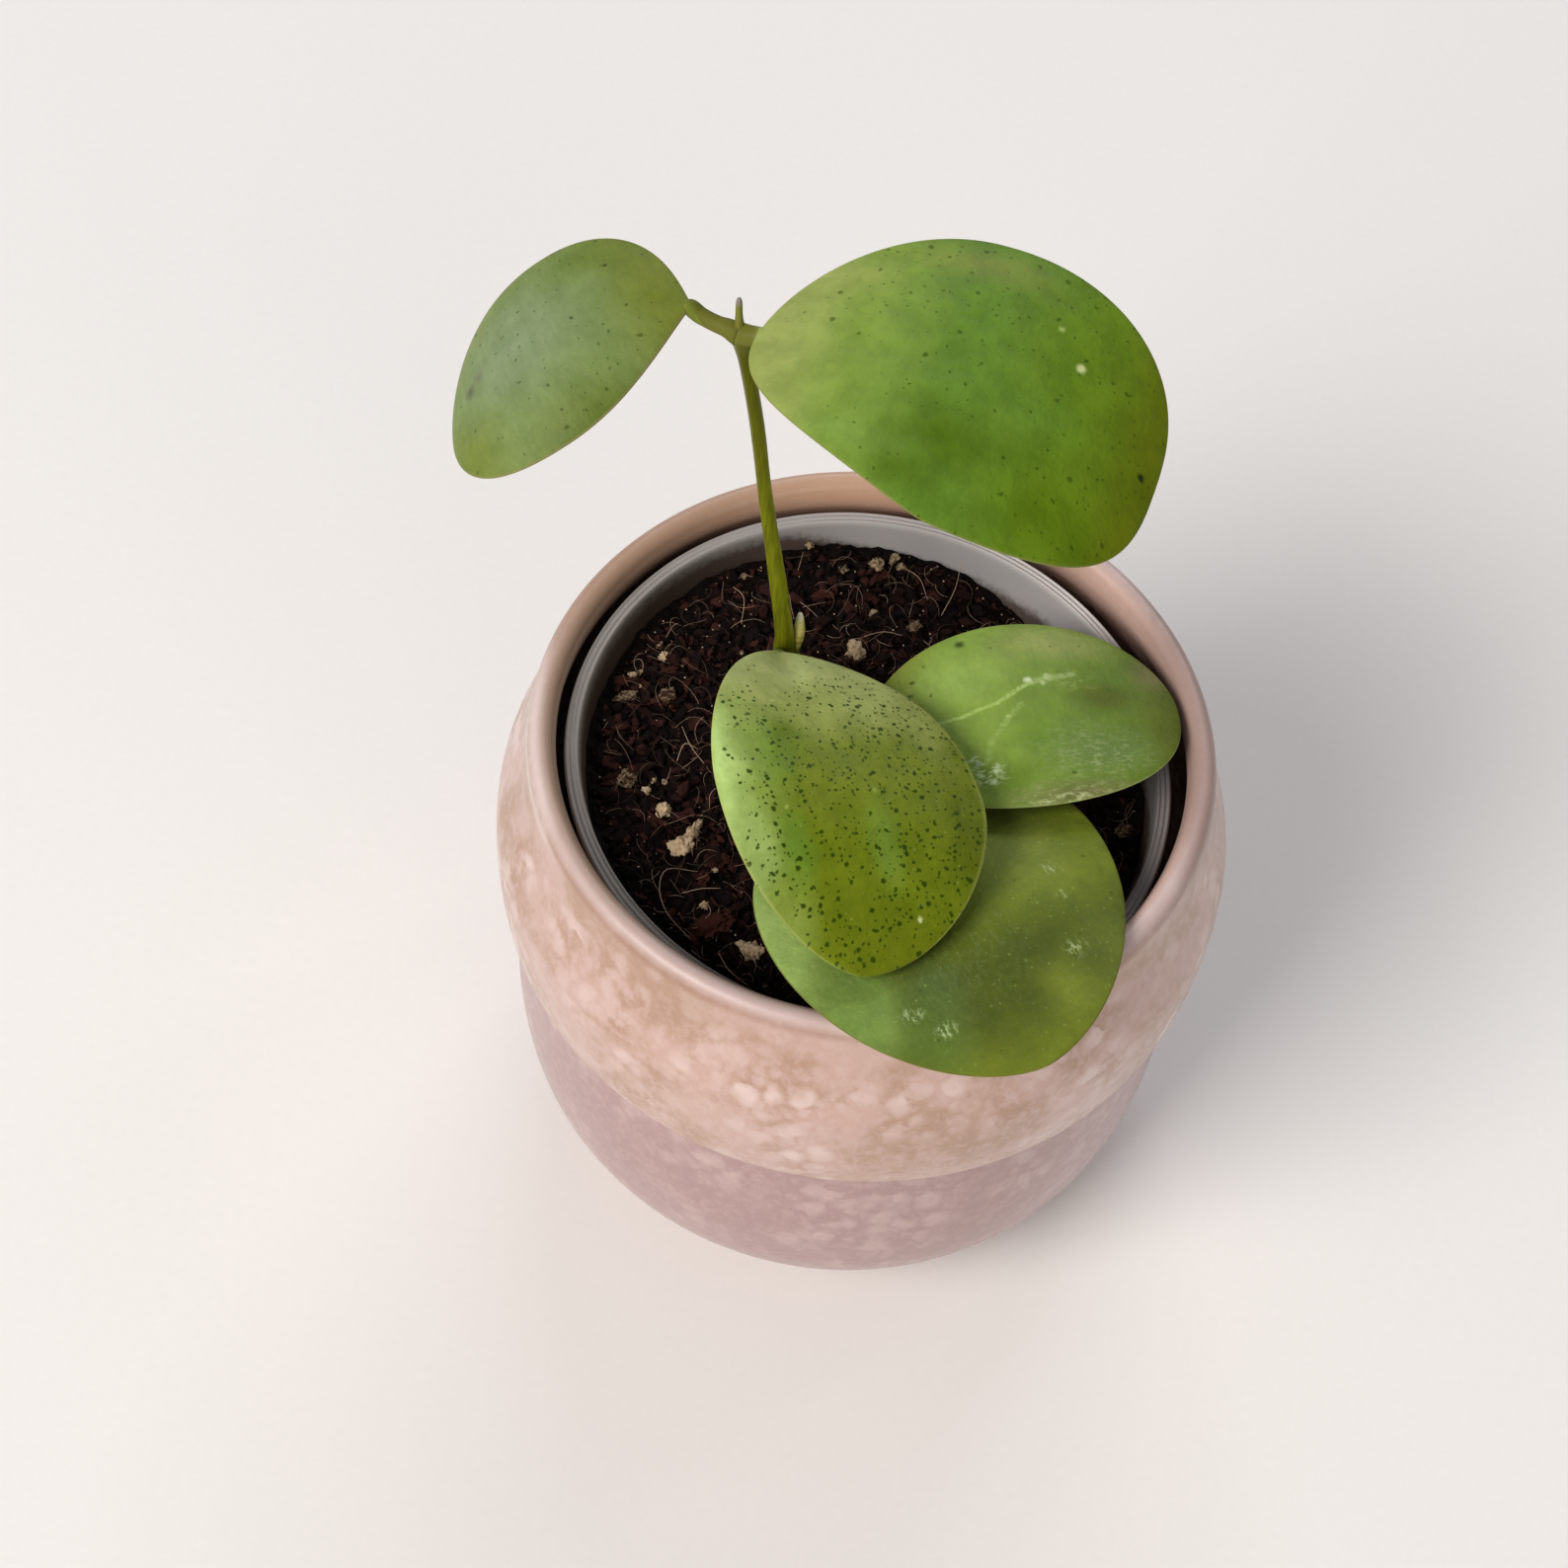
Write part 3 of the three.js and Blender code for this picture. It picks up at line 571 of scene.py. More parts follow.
def nursery_pot():
    collar = NURSERY_TOP - NURSERY_RIM_DEPTH
    outside = [(0, NURSERY_BASE), (NURSERY_BASE_RADIUS - 1, NURSERY_BASE),
               (NURSERY_BASE_RADIUS, NURSERY_BASE + 1), (NURSERY_MOUTH_RADIUS + 0.6 * NURSERY_WALL, collar),
               (NURSERY_RADIUS - 0.5, collar), (NURSERY_RADIUS - 0.15, NURSERY_TOP - 2.5)]
    inside = [(NURSERY_MOUTH_RADIUS - 0.25, NURSERY_TOP - 2),
              (NURSERY_BASE_RADIUS - NURSERY_WALL, NURSERY_FLOOR), (0, NURSERY_FLOOR)]
    bm = spun([*outside, *nursery_rim(), *inside])
    for v in bm.verts:
        up = min(1, max(0, (v.co.z - LEAN_START) / (collar - LEAN_START)))
        v.co.z += up * lean(v.co.x, v.co.y)
    plastic = material("grey polypropylene, injection moulded", grey_polypropylene)
    pot = piece("nursery_pot_moulded", bm, plastic, "grey_polypropylene", "nursery_pot")
    cut = pot.modifiers.new("drain holes", "BOOLEAN")
    cut.operation = "DIFFERENCE"
    cut.solver = "EXACT"
    cut.object = drain_holes()
    bpy.context.view_layer.update()
    pot.data = bpy.data.meshes.new_from_object(pot.evaluated_get(bpy.context.evaluated_depsgraph_get()))
    bpy.data.objects.remove(cut.object)
    pot.modifiers.clear()
    pot.data.set_sharp_from_angle(angle=radians(40))


# The soil: a crumbly surface, with loose crumbs, perlite, bark and coir on it

def soil_height(x, y):
    tilt = -0.05 * x + 0.07 * y
    away = hypot(x - SOIL_HOLLOW.x, y - SOIL_HOLLOW.y) / HOLLOW_REACH
    hollow = HOLLOW_DEPTH * exp(-0.5 * away ** 2)
    mounds = 0.5 * sin(0.31 * x + 1.2) * cos(0.27 * y - 0.4)
    crumbs = 0.35 * sin(0.93 * x + 0.6 * y) * sin(0.81 * y - 0.37 * x + 2)
    return SOIL_LEVEL + tilt - hollow + mounds + crumbs


def crumbly(x, y):
    """Height of the crumbs on top of the soil's main form."""
    lumps = noise.voronoi(Vector((x / 2.6, y / 2.6, 0)))[0]
    fine = noise.fractal(Vector((x / 1.3, y / 1.3, 4)), 0.8, 2.1, 4)
    return 0.9 * (lumps[1] - lumps[0]) - 0.5 + 0.45 * fine


def soil_plug():
    rings = 72
    profile = [(0, NURSERY_FLOOR + 0.3), (NURSERY_BASE_RADIUS - NURSERY_WALL - 0.2, NURSERY_FLOOR + 0.3)]
    profile += [(SOIL_RADIUS * ring / rings, SOIL_LEVEL) for ring in range(rings, -1, -1)]
    bm = spun(profile)
    bm.verts.layers.float.new("tone")
    for v in bm.verts:
        if v.co.z < SOIL_LEVEL - 1:
            continue
        x, y, _ = v.co
        z = soil_height(x, y) + crumbly(x, y)
        wall = NURSERY_MOUTH_RADIUS - (NURSERY_TOP + lean(x, y) - z) * WALL_TAPER - 0.1
        v.co = Vector((x * wall / SOIL_RADIUS, y * wall / SOIL_RADIUS, z))
    return bm


def toned():
    """An empty bmesh whose vertices hold a tone, so that one material colours each lump in its own way."""
    bm = bmesh.new()
    bm.verts.layers.float.new("tone")
    return bm


def absorb_many(bm, parts):
    """The same for hundreds of small parts, gathered in batches first because that is quicker."""
    batch = toned()
    for count, part in enumerate(parts, 1):
        absorb(batch, part)
        if count % 60 == 0:
            absorb(bm, batch)
            batch = toned()
    absorb(bm, batch)


def set_tone(bm, tone):
    layer = bm.verts.layers.float["tone"]
    for v in bm.verts:
        v[layer] = tone


def lump(draw, place, size, turn, faces, roughness, tone):
    """One crumb or chip: a ball made ragged by noise, stretched to its size and turned."""
    bm = toned()
    bmesh.ops.create_icosphere(bm, subdivisions=faces, radius=0.5)
    shift = Vector((draw.uniform(0, 90), draw.uniform(0, 90), draw.uniform(0, 90)))
    for v in bm.verts:
        v.co *= 1 + roughness * noise.fractal(3.2 * v.co + shift, 0.8, 2.1, 4)
    set_tone(bm, tone)
    spin = Matrix.Rotation(turn, 4, "Z") @ Matrix.Rotation(draw.uniform(-0.5, 0.5), 4, "X")
    turned = Matrix.Translation(place) @ spin @ Matrix.Diagonal((*size, 1))
    bmesh.ops.transform(bm, matrix=turned, verts=bm.verts)
    return bm


def on_soil(x, y, lift):
    return Vector((x, y, soil_height(x, y) + lift))


def scattered(draw, count, reach=39.6):
    """Places spread evenly at random over the soil."""
    for _ in range(count):
        radius = reach * sqrt(draw.random())
        angle = 2 * pi * draw.random()
        yield radius * cos(angle), radius * sin(angle)


def soil():
    draw = random.Random(41)

    def crumbs():
        for x, y in scattered(draw, CRUMBS, 41):
            size = 0.42 + 1.3 * draw.random() ** 3
            stretch = (size * draw.uniform(0.9, 2.2), size, size * draw.uniform(0.4, 1.0))
            place = on_soil(x, y, 0.3 * size + crumbly(x, y) * 0.7)
            if hypot(x, y) + size < 41.6:
                yield lump(draw, place, stretch, draw.uniform(0, pi), 1, 1.0, draw.random() ** 3)

    bm = soil_plug()
    absorb_many(bm, crumbs())
    mix = material("peat and bark potting mix, moist", soil_mix, "#0d0503", "#3b1e19", 0.5, 0.35, 0.6)
    piece("soil_crumb", bm, mix, "potting_mix", "soil").data.shade_flat()


# The lumps that show in the open soil: place, length, width, height, turn in degrees and, if pale, tone
PALE_LUMPS = [
    (-32.3, 16.4, 1.5, 1.4, 1.4, 0, 1.1), (-30.9, 9.1, 2.4, 2.2, 1.8, 40, 0.1),
    (-37.3, 8.5, 3.2, 1.8, 1.6, 10, 0.15), (-35.4, -5.3, 3.0, 2.8, 1.8, 60, 0.15),
    (-32.4, -7.3, 1.3, 1.1, 1.1, 0, 0.8), (-29.5, -10.6, 2.2, 1.8, 1.8, 80, 0.9),
    (-26.3, -15.9, 3.4, 2.4, 2.2, 30, 0.9), (-24.9, -13.2, 3.4, 1.8, 2, 65, 0.6),
    (-22, -24.9, 1.2, 1.0, 1.0, 20, 0.7), (-14.6, -31.1, 3.6, 2.6, 2.6, 150, 0.6),
    (-3.2, 21.6, 3.2, 2.6, 2.6, 120, 0.6), (-1.1, 38.5, 2.4, 1.8, 1.6, 20, 0.4),
    (1.4, 40, 1.8, 1.2, 1.4, 60, 0.5), (2.8, 38.6, 1.5, 1.1, 1.2, 0, 0.4),
    (-6.3, 36.4, 1.5, 1.3, 1.3, 80, 0.3), (-1, 29.2, 1.4, 1.2, 1.2, 10, 0.4),
    (5.5, 28.2, 2.2, 1.6, 1.4, 40, 0.15), (-11.8, 40, 1.2, 1, 1, 0, 0.4),
    (38.6, -3.7, 2.4, 1.8, 1.6, 40, 0.2),
]
BARK_CHIPS = [
    (-20.3, -27.7, 5.6, 4.4, 2.2, 35), (-22.6, -21, 2.4, 1.6, 1.2, 80), (-9, 31, 3.0, 1.6, 1.2, 10),
]


def perlite():
    draw = random.Random(7)

    def grains():
        for x, y, *size, turn, tone in PALE_LUMPS:
            yield lump(draw, on_soil(x, y, 0.25 * size[2]), size, radians(turn), 4, 0.65, tone)
        for x, y in scattered(draw, GRAINS):
            size = 0.45 + 0.7 * draw.random() ** 2
            stretch = (size * 1.3, size, size * 0.8)
            place = on_soil(x, y, 0.45 * size)
            yield lump(draw, place, stretch, draw.uniform(0, 3), 2, 0.6, draw.uniform(-0.2, 0.6))
        for x, y in scattered(draw, TINY_GRAINS, 40.6):
            size = draw.uniform(0.14, 0.34)
            place = on_soil(x, y, 0.5 + 0.4 * draw.random())
            yield lump(draw, place, (size,) * 3, 0, 1, 0.5, draw.uniform(-0.2, 0.9))

    bm = toned()
    absorb_many(bm, grains())
    skin = material("perlite and bleached bark, stained", soil_mix, "#30160d", "#d6bc98", 0.6, 0.5, 2.0)
    piece("perlite", bm, skin, "potting_mix")


def bark():
    draw = random.Random(23)

    def chips():
        for x, y, *size, turn in BARK_CHIPS:
            yield lump(draw, on_soil(x, y, 0.4 * size[2]), size, radians(turn), 4, 0.6, 0.7)
        for x, y in scattered(draw, CHIPS):
            size = 0.3 + 0.7 * draw.random() ** 3
            stretch = (size * draw.uniform(1.5, 3), size, size * 0.45)
            place = on_soil(x, y, 0.45 + 0.3 * size)
            yield lump(draw, place, stretch, draw.uniform(0, 3), 2, 1.1, 0.9 * draw.random() ** 2)

    bm = toned()
    absorb_many(bm, chips())
    skin = material("pine bark chips, composted", soil_mix, "#150806", "#45231b", 0.4, 0.4, 1.2)
    piece("bark_chips", bm, skin, "potting_mix").data.shade_flat()


# Coir fibres that show singly: each is a few places on the soil with its lift
LONG_FIBRES = [
    [(-23.5, -19.7, 0.8), (-28, -20.3, 1.8), (-28.7, -23.3, 1.8), (-27.2, -27.5, 1.6), (-23.3, -30.9, 0.8)],
    [(-25.4, -24.1, 1.8), (-22.6, -23.3, 2.2), (-19.9, -22.8, 1.6)],
    [(-23, -26.3, 1.6), (-21.8, -25.9, 2.4), (-21, -27, 2.2), (-22.7, -28.4, 1.2)],
    [(9.6, 31.2, 0.8), (11.3, 34.4, 3.2), (11.8, 37.4, 5.6)],
    [(-2.2, 24, 1.2), (0.7, 24.8, 1.8), (3.7, 25.4, 1.2)],
    [(2.5, 38.4, 1.2), (5.6, 36.4, 1.8), (7.2, 32.9, 1)],
    [(-24, -2.2, 0.8), (-26.4, 0.1, 2.2), (-28.3, 4.2, 1.2)],
    [(-28.4, -1.8, 0.8), (-27.5, 0.6, 2.2), (-25.5, 0.6, 1.2)],
    [(-23, 30.2, 0.8), (-21.2, 27.6, 1.8), (-21.1, 23.4, 0.8)],
    [(-19.3, -32.2, 1), (-17.5, -35.1, 1.8), (-14.7, -37, 1)],
]


def fibre(points, steps, radius, tone):
    """A thin hair along a few points, finer toward its end."""
    bm = toned()
    sweep(bm, smooth_path(points, steps), lambda u: radius * (1 - 0.5 * u), 3)
    set_tone(bm, tone)
    return bm


def coir():
    draw = random.Random(5)

    def hairs():
        for points in LONG_FIBRES:
            yield fibre([on_soil(x, y, lift) for x, y, lift in points], 20, 0.075, 1.0)
        for x, y in scattered(draw, HAIRS, 40.4):
            heading = draw.uniform(0, 2 * pi)
            curl = draw.uniform(-0.7, 0.7)
            step = draw.uniform(0.4, 1.5)
            lift = draw.uniform(0.3, 1.4)
            points = []
            for k in range(5):
                if hypot(x, y) < 40:
                    points.append(on_soil(x, y, lift * sin(pi * (k + 0.4) / 5) + 0.6))
                x += step * cos(heading)
                y += step * sin(heading)
                heading += curl
            radius = draw.uniform(0.02, 0.05)
            tone = draw.random() ** 2.4
            if len(points) > 2:
                yield fibre(points, 7, radius, tone)

    bm = toned()
    absorb_many(bm, hairs())
    skin = material("coconut coir fibre, dry", soil_mix, "#33160f", "#c4a48a", 0.6, 0.05, 0.2, 0.7)
    piece("coir_fibres", bm, skin, "potting_mix")


# The stem, its shoot tip and the bud

STEM_POINTS = [
    (-6.4, 2.2, 66), (-6.6, 2.5, 73), (-7, 3.2, 80), (-8.2, 5, 86), (-10.9, 8.2, 90.2), (-13.7, 11.4, 94),
    (-14.4, 11.5, 99.7), (-15.4, 11.5, 107.5), (-16.5, 11.6, 115), (-18.6, 11.7, 129.5), (-20.3, 11.8, 143),
    (-21.8, 11.9, 152.3), (-22.9, 12, 158.4), (-23.2, 12, 160.6),
]
TIP_POINTS = [(-23.2, 12, 159.4), (-23.5, 12.8, 161.6), (-23.7, 14.1, 163.9)]
BUD_POINTS = [(-13.4, 11.5, 94.4), (-12.3, 11.7, 96), (-12.2, 12.2, 98.4), (-12.3, 13.6, 101.6)]
STEM_NODES = [Vector((-8.2, 5, 86)), Vector((-13.7, 11.4, 94)), Vector((-23.2, 12, 160))]
NODE_SWELLING = 0.5
NODE_REACH = 2.9
STEM_STEPS = 230
STEM_RADIUS = 1.42
SHOOT_RADIUS = 0.98
# Shares of the stem's length between which it thins
THINNING = (0.3, 0.75)


def stem():
    path = smooth_path(STEM_POINTS, STEM_STEPS)
    length = sum((q - p).length for p, q in zip(path, path[1:]))

    def radius_at(u):
        share = min(1, max(0, (u - THINNING[0]) / (THINNING[1] - THINNING[0])))
        taper = STEM_RADIUS + (SHOOT_RADIUS - STEM_RADIUS) * share * share * (3 - 2 * share)
        point = path[round(u * STEM_STEPS)]
        for joint in STEM_NODES:
            taper += NODE_SWELLING * exp(-((point - joint).length / NODE_REACH) ** 2)
        end = min(u, 1 - u) * length
        return taper * min(1, sqrt((end + 0.05) / 1.4)) * (1 + 0.015 * sin(41 * u))

    def tip_radius(u):
        return (0.45 + 0.45 * exp(-(u / 0.35) ** 2)) * sqrt(max(0.03, 1 - u ** 14))

    bm = bmesh.new()
    sweep(bm, path, radius_at, 28)
    sweep(bm, smooth_path(TIP_POINTS, 30), tip_radius, 20)
    piece("stem_bark", bm, material("hoya stem, green waxy bark", vine_bark), "vine_stem", "stem")


def axillary_bud():
    def radius_at(u):
        if u < 0.4:
            return 0.5
        along = (u - 0.4) / 0.6
        return 0.3 + 0.52 * sin(pi * min(1, 0.2 + along * 0.8)) ** 0.8

    bm = bmesh.new()
    sweep(bm, smooth_path(BUD_POINTS, 40), radius_at, 20, 0.85)
    skin = material("hoya bud, tender scales", bud_skin)
    piece("axillary_bud_scales", bm, skin, "bud_skin", "axillary_bud")


# The leaves. A blade lies along the line from base to tip, rolled about it. Each side has its half width,
# where along the leaf it is widest (0 base, 1 tip), and how blunt it is toward base and tip: a half width
# falls as (1 - distance ** power) ** fullness from the widest place. The crown is the rise of the midrib
# between the ends, the cup is the drop of the edges, the twist tilts the blade toward the tip, and the
# sweep bows the midrib sideways. The petiole leads from the stem to the join, which is a share along the
# blade, then across and out of it. A dent is its place along and across, its reach both ways and its depth.
# The rim's look follows the distance from the edge, or a share of rim_span from edge to midrib.

BLADE_THICKNESS = 1.5
MIDRIB_GROOVE = 0.2
PETIOLE_RADIUS = 1.1
STALK_FLARE = 0.4
STALK_COLLAR = 0.06
STALK_RUN = 2.6
STALK_GREENING = 2.6
STALK_FADE = 20.0
LEAF_UV_SPAN = 70.0

LEAVES = {
    "leaf_upper_left": dict(
        base=(-29.8, 16.5, 159.2), tip=(-59, 3.2, 141.1), roll=4.4, crown=5.9, cup=2.6, twist=-2.3,
        sweep=1.4, left=(11.9, 0.58, 2, 1.04, 2.2, 0.5), right=(15.2, 0.39, 2.8, 0.36, 2.45, 0.62),
        petiole=[(-23.2, 12, 159.3), (-24.8, 13.1, 159.2), (-26.4, 14.2, 158.7), (-28.6, 15.7, 158.4)],
        join=(0.012, 0, -0.45), slot="leaf_greyed"),
    "leaf_upper_right": dict(
        base=(-21.5, 9.9, 160.3), tip=(30.4, -2.1, 151.9), roll=-6.8, crown=7.5, cup=1.5, twist=-3.8,
        sweep=-2.1, left=(22, 0.46, 2.25, 0.56, 2.35, 0.34), right=(21.4, 0.51, 1.3, 0.49, 1.8, 0.39),
        petiole=[(-23.2, 12, 159.5), (-22.2, 11.9, 159.5)], join=(0.03, -2, -1.4),
        slot="leaf_mid_green"),
    "leaf_speckled": dict(
        base=(-15.4, 8.3, 99), tip=(1.6, -43.7, 97.7), roll=11.5, crown=6.5, cup=1, twist=-3.4, sweep=-0.8,
        left=(20.8, 0.57, 2.75, 0.58, 1.7, 0.48), right=(17.3, 0.47, 1.75, 0.57, 2.05, 0.66),
        petiole=[(-13.7, 11.4, 94), (-14.6, 10, 96)], join=(0.02, 0, -1),
        slot="leaf_speckled_green", dent=(18, 4.5, 9, 6, 0.3),
        rim_span=6),
    "leaf_right": dict(
        base=(-0.7, 0.5, 89.5), tip=(44.4, 8.1, 93.4), roll=3.8, crown=3.2, cup=1, twist=0.4, sweep=-0.9,
        left=(17.2, 0.5, 2, 0.47, 2, 0.5), right=(17.1, 0.52, 2.1, 0.46, 1.85, 0.43),
        petiole=[(-9, 6, 87.4), (-5.4, 2.6, 88.4)], join=(0.02, 0, -0.8),
        slot="leaf_scuffed_green"),
    "leaf_lower": dict(
        base=(-1.5, -8, 86), tip=(25.4, -55, 98), roll=0.6, crown=1.8, cup=0.6, twist=0.2, sweep=-1,
        left=(26.7, 0.33, 2, 0.5, 2, 0.62), right=(25.3, 0.44, 2, 0.34, 2, 0.55),
        petiole=[(-7.8, 4.4, 84.6), (-7, -0.6, 84.6), (-4.4, -4.6, 84.9)], join=(0.02, 0, -0.8),
        slot="leaf_matte_green"),
}

# Looks of each leaf, in millimetres along it from its base and across it from its midrib, with the left
# side negative: tones follow each other along the leaf as (tint, from, to), washes and scuffs are (tint,
# place, reach, strength), flecks and pores (spacing, radius, share, strength), clear places without flecks
# (place, reach), spots (tint, place, radius, strength), scratches (tint, start, end, width, strength) and
# the rim (tint, strength). Mottle and grain are how much shows of a pattern, gloss is the least roughness.
FLECK_TINT = "#2c4000"
PORE_TINT = "#9dac5e"

# The tones and washes hold each leaf's own colour together with painted light and shade: parts that face
# the light are painted lighter, parts turned from it darker
LEAF_LOOKS = {
    "leaf_upper_left": dict(
        tones=["#74812f", ("#76894a", 2, 11)],
        # Painted reflection: the first wash is a grey sheen over the middle of the blade
        washes=[("#82946d", (22, 4), (17, 14), 1.0), ("#5c6e24", (12, -11), (21, 5.5), 0.9),
            ("#6f7e30", (35, -5), (9, 9), 0.8), ("#667a30", (8, 11), (11, 5), 0.6),
            ("#858e60", (29, 12), (9, 5), 0.6)],
        mottle=0.6, grain=0.75, gloss=0.42, rim=("#8d8058", 0.75),
        flecks=[(3.2, 0.32, 0.45, 0.6), (1.9, 0.2, 0.45, 0.5)],
        spots=[("#5f6650", (30.6, 4.0), 1.5, 1.0), ("#6c6f5c", (28.6, 4.6), 1.6, 0.7),
            ("#3a4520", (7.2, 8.6), 0.4, 1.2), ("#3f4a26", (13.6, 2.6), 0.4, 1.2)]),
    "leaf_upper_right": dict(
        tones=["#9aa85a", ("#7f9b3e", 3, 13), ("#62862a", 11, 26), ("#638219", 26, 42),
            ("#606f06", 42, 53)],
        # Painted light and shade: the pale washes on the left side and the dark washes on the right side
        washes=[("#4b6706", (27, 10), (10, 7), 0.8), ("#4b6806", (22, 16), (8, 4), 0.6),
            ("#828b42", (24, -17), (15, 5), 0.6), ("#98a556", (9, -12), (8, 6), 0.5),
            ("#587501", (42, 13), (12, 9), 0.6), ("#86a64c", (14, 14), (9, 4.5), 0.5),
            ("#648a2c", (36, 1), (9, 6), 0.7)],
        mottle=0.85, grain=0.35, gloss=0.42, rim=("#7c7c46", 0.5),
        clear=[((6, 4), (15, 20)), ((24, 12), (14, 9))],
        flecks=[(3.8, 0.4, 0.5, 0.6), (2.2, 0.26, 0.5, 0.5), (1.5, 0.2, 0.35, 0.35)],
        spots=[("#c3cf8a", (39.6, -7.8), 1.0, 1.3), ("#1f2c08", (51.6, -0.6), 0.9, 1.4),
            ("#a9b96c", (35.6, -11.8), 0.7, 0.9)]),
    "leaf_speckled": dict(
        tones=["#b2bd76", ("#9da957", 5, 14), ("#73821e", 12, 24), ("#6a7a12", 26, 40),
            ("#65730d", 42, 54)],
        washes=[("#a8b468", (9, -10), (14, 9), 0.7), ("#939f50", (18, -15), (12, 5), 0.8),
            # Painted sheen: the pale washes at 14 to 20 mm across on the right flank
            ("#668a1e", (22, 8.5), (10, 5), 0.8), ("#97b257", (22, 14), (24, 9), 0.8),
            ("#c6e58a", (25, 19.5), (27, 8.5), 1.7), ("#97b05e", (37, 14.5), (13, 6.5), 1.2),
            ("#84993f", (46, 10), (9, 5), 0.8), ("#647c0c", (18.5, 5.5), (7, 4), 0.7),
            ("#6c9232", (37, 8), (9, 4), 0.7), ("#76973a", (38, -4.5), (10, 3.6), 0.6),
            ("#6f7e12", (52, 3), (6, 8), 0.7), ("#57630f", (38, -17), (19, 5.5), 0.8)],
        mottle=0.75, grain=0.7, gloss=0.38, rim=("#a9ae62", 0.35),
        clear=[((1, 1), (15, 20)), ((24, 18), (24, 8))],
        flecks=[(2.2, 0.42, 0.6, 0.95), (1.5, 0.31, 0.65, 0.9), (1.2, 0.24, 0.6, 0.8)],
        pores=[(2.6, 0.22, 0.3, 0.3)],
        # Painted glints: the first four, pale spots
        spots=[("#c6d58f", (48.6, -7.6), 0.6, 1.3), ("#b9c878", (12.6, 5.6), 0.5, 0.8),
            ("#a9ba62", (31, 8.6), 0.6, 0.7), ("#9dae52", (29.6, -4.6), 0.8, 0.5),
            ("#5b6f10", (18.5, 5.6), 2.6, 0.5)]),
    "leaf_right": dict(
        tones=["#7f8c36", ("#829e42", 5, 14), ("#759039", 18, 26), ("#66802a", 26, 34),
            ("#5a6620", 36, 45)],
        washes=[("#93b054", (14, -7), (13, 7), 0.8), ("#9aa45c", (29, -12), (13, 6), 0.9),
            ("#627c26", (18, 12), (10, 6), 0.7), ("#6a8a2e", (26, 5), (9, 7), 0.6),
            ("#57621b", (35, -2), (7, 4), 0.9), ("#6b8545", (33, 8), (12, 7), 0.9),
            ("#7a7350", (43, -7), (6, 6), 0.6), ("#74734a", (29, 15.5), (15, 3.6), 0.8)],
        mottle=0.65, grain=0.7, gloss=0.4, rim=("#a7b27a", 0.4), clear=[((24, 0), (24, 14))],
        flecks=[(4.6, 0.36, 0.3, 0.55)],
        spots=[("#3d4a14", (15.4, -13.8), 1.2, 1.1), ("#3f4a14", (7.6, -8), 0.7, 1.0),
            ("#3f4a14", (7.0, -5.4), 0.8, 0.8), ("#d6e2b8", (24.3, -4.9), 0.9, 1.0),
            ("#bccd92", (27.2, -5.4), 0.8, 0.9), ("#bccd92", (26.4, -4.2), 0.7, 0.9),
            ("#b7cb84", (20.6, 1.6), 0.6, 0.8), ("#cfdcb0", (17.6, 10.8), 0.7, 1.0),
            ("#c3d3a0", (17, 12.4), 0.7, 0.9)],
        scratches=[("#a9c46a", (9, 0.8), (14, 0.4), 0.7, 0.8),
            ("#a9c46a", (14, 0.4), (19.4, -1.2), 0.8, 0.8),
            ("#adc672", (19.4, -1.2), (24.5, -4.4), 0.9, 0.8),
            ("#b4c986", (24.5, -4.4), (31, -5.8), 1.2, 0.5), ("#9ab562", (22.6, -0.4), (19.6, 3), 1.1, 0.5),
            ("#9ab562", (19.6, 3), (17.4, 6), 1.1, 0.45), ("#9ab562", (17.4, 6), (16.2, 9.4), 1.1, 0.4)],
        scuffs=[("#b9cc9a", (16.4, 11), (4.2, 3.4), 1.4), ("#b7c79a", (14.6, 8.6), (2, 2), 1.3),
            ("#96a66c", (32, 9), (13, 8), 0.8), ("#9a9f6c", (27, 15.4), (14, 3), 1.0),
            ("#bfcb98", (27, 16), (9, 1.4), 0.6), ("#94a662", (30, -4.5), (7, 3), 0.7)]),
    "leaf_lower": dict(
        tones=["#6f8022", ("#6f7e25", 10, 22), ("#535f1c", 28, 38), ("#717f26", 44, 55)],
        # Painted light: the first wash lightens the part of the blade that the speckled leaf shades
        washes=[("#a6c46a", (17, 25), (24, 13), 1.7), ("#7b9747", (37, 19), (16, 9), 1.3),
            ("#6c8436", (47, 12), (10, 7), 0.8), ("#5e733a", (38, 8), (11, 7), 0.7),
            ("#849240", (20, -14), (16, 11), 0.8), ("#7f8d31", (46.5, -9.4), (9, 7), 0.8),
            ("#5a702e", (42, 10), (10, 7), 0.6), ("#6c7930", (42, -18), (14, 8), 0.7)],
        mottle=0.6, grain=0.8, gloss=0.52, rim=("#5c4a22", 0.55), clear=[((20, 20), (24, 8))],
        flecks=[(4.2, 0.36, 0.25, 0.4)], pores=[(3.4, 0.26, 0.25, 0.35), (1.7, 0.22, 0.3, 0.3)],
        spots=[("#3b2e14", (30, 2), 0.7, 0.8)],
        scuffs=[("#88965a", (30, 4), (26, 20), 0.3), ("#aebf86", (41.1, 12.9), (2, 2.2), 1.6),
            ("#b6c98c", (45.2, 9.8), (2, 2.2), 1.6), ("#a5b57c", (40.5, -12.5), (2.4, 2.6), 1.3),
            ("#a5b57c", (26.1, -16.1), (2, 2), 1.2), ("#9dad70", (31.1, -15.4), (1.6, 1.6), 1.0)]),
}


def half_width(side, t):
    half, widest, base_power, base_fullness, tip_power, tip_fullness = side
    if t < widest:
        distance, power, fullness = (widest - t) / widest, base_power, base_fullness
    else:
        distance, power, fullness = (t - widest) / (1 - widest), tip_power, tip_fullness
    return half * max(0.0, 1 - distance ** power) ** fullness


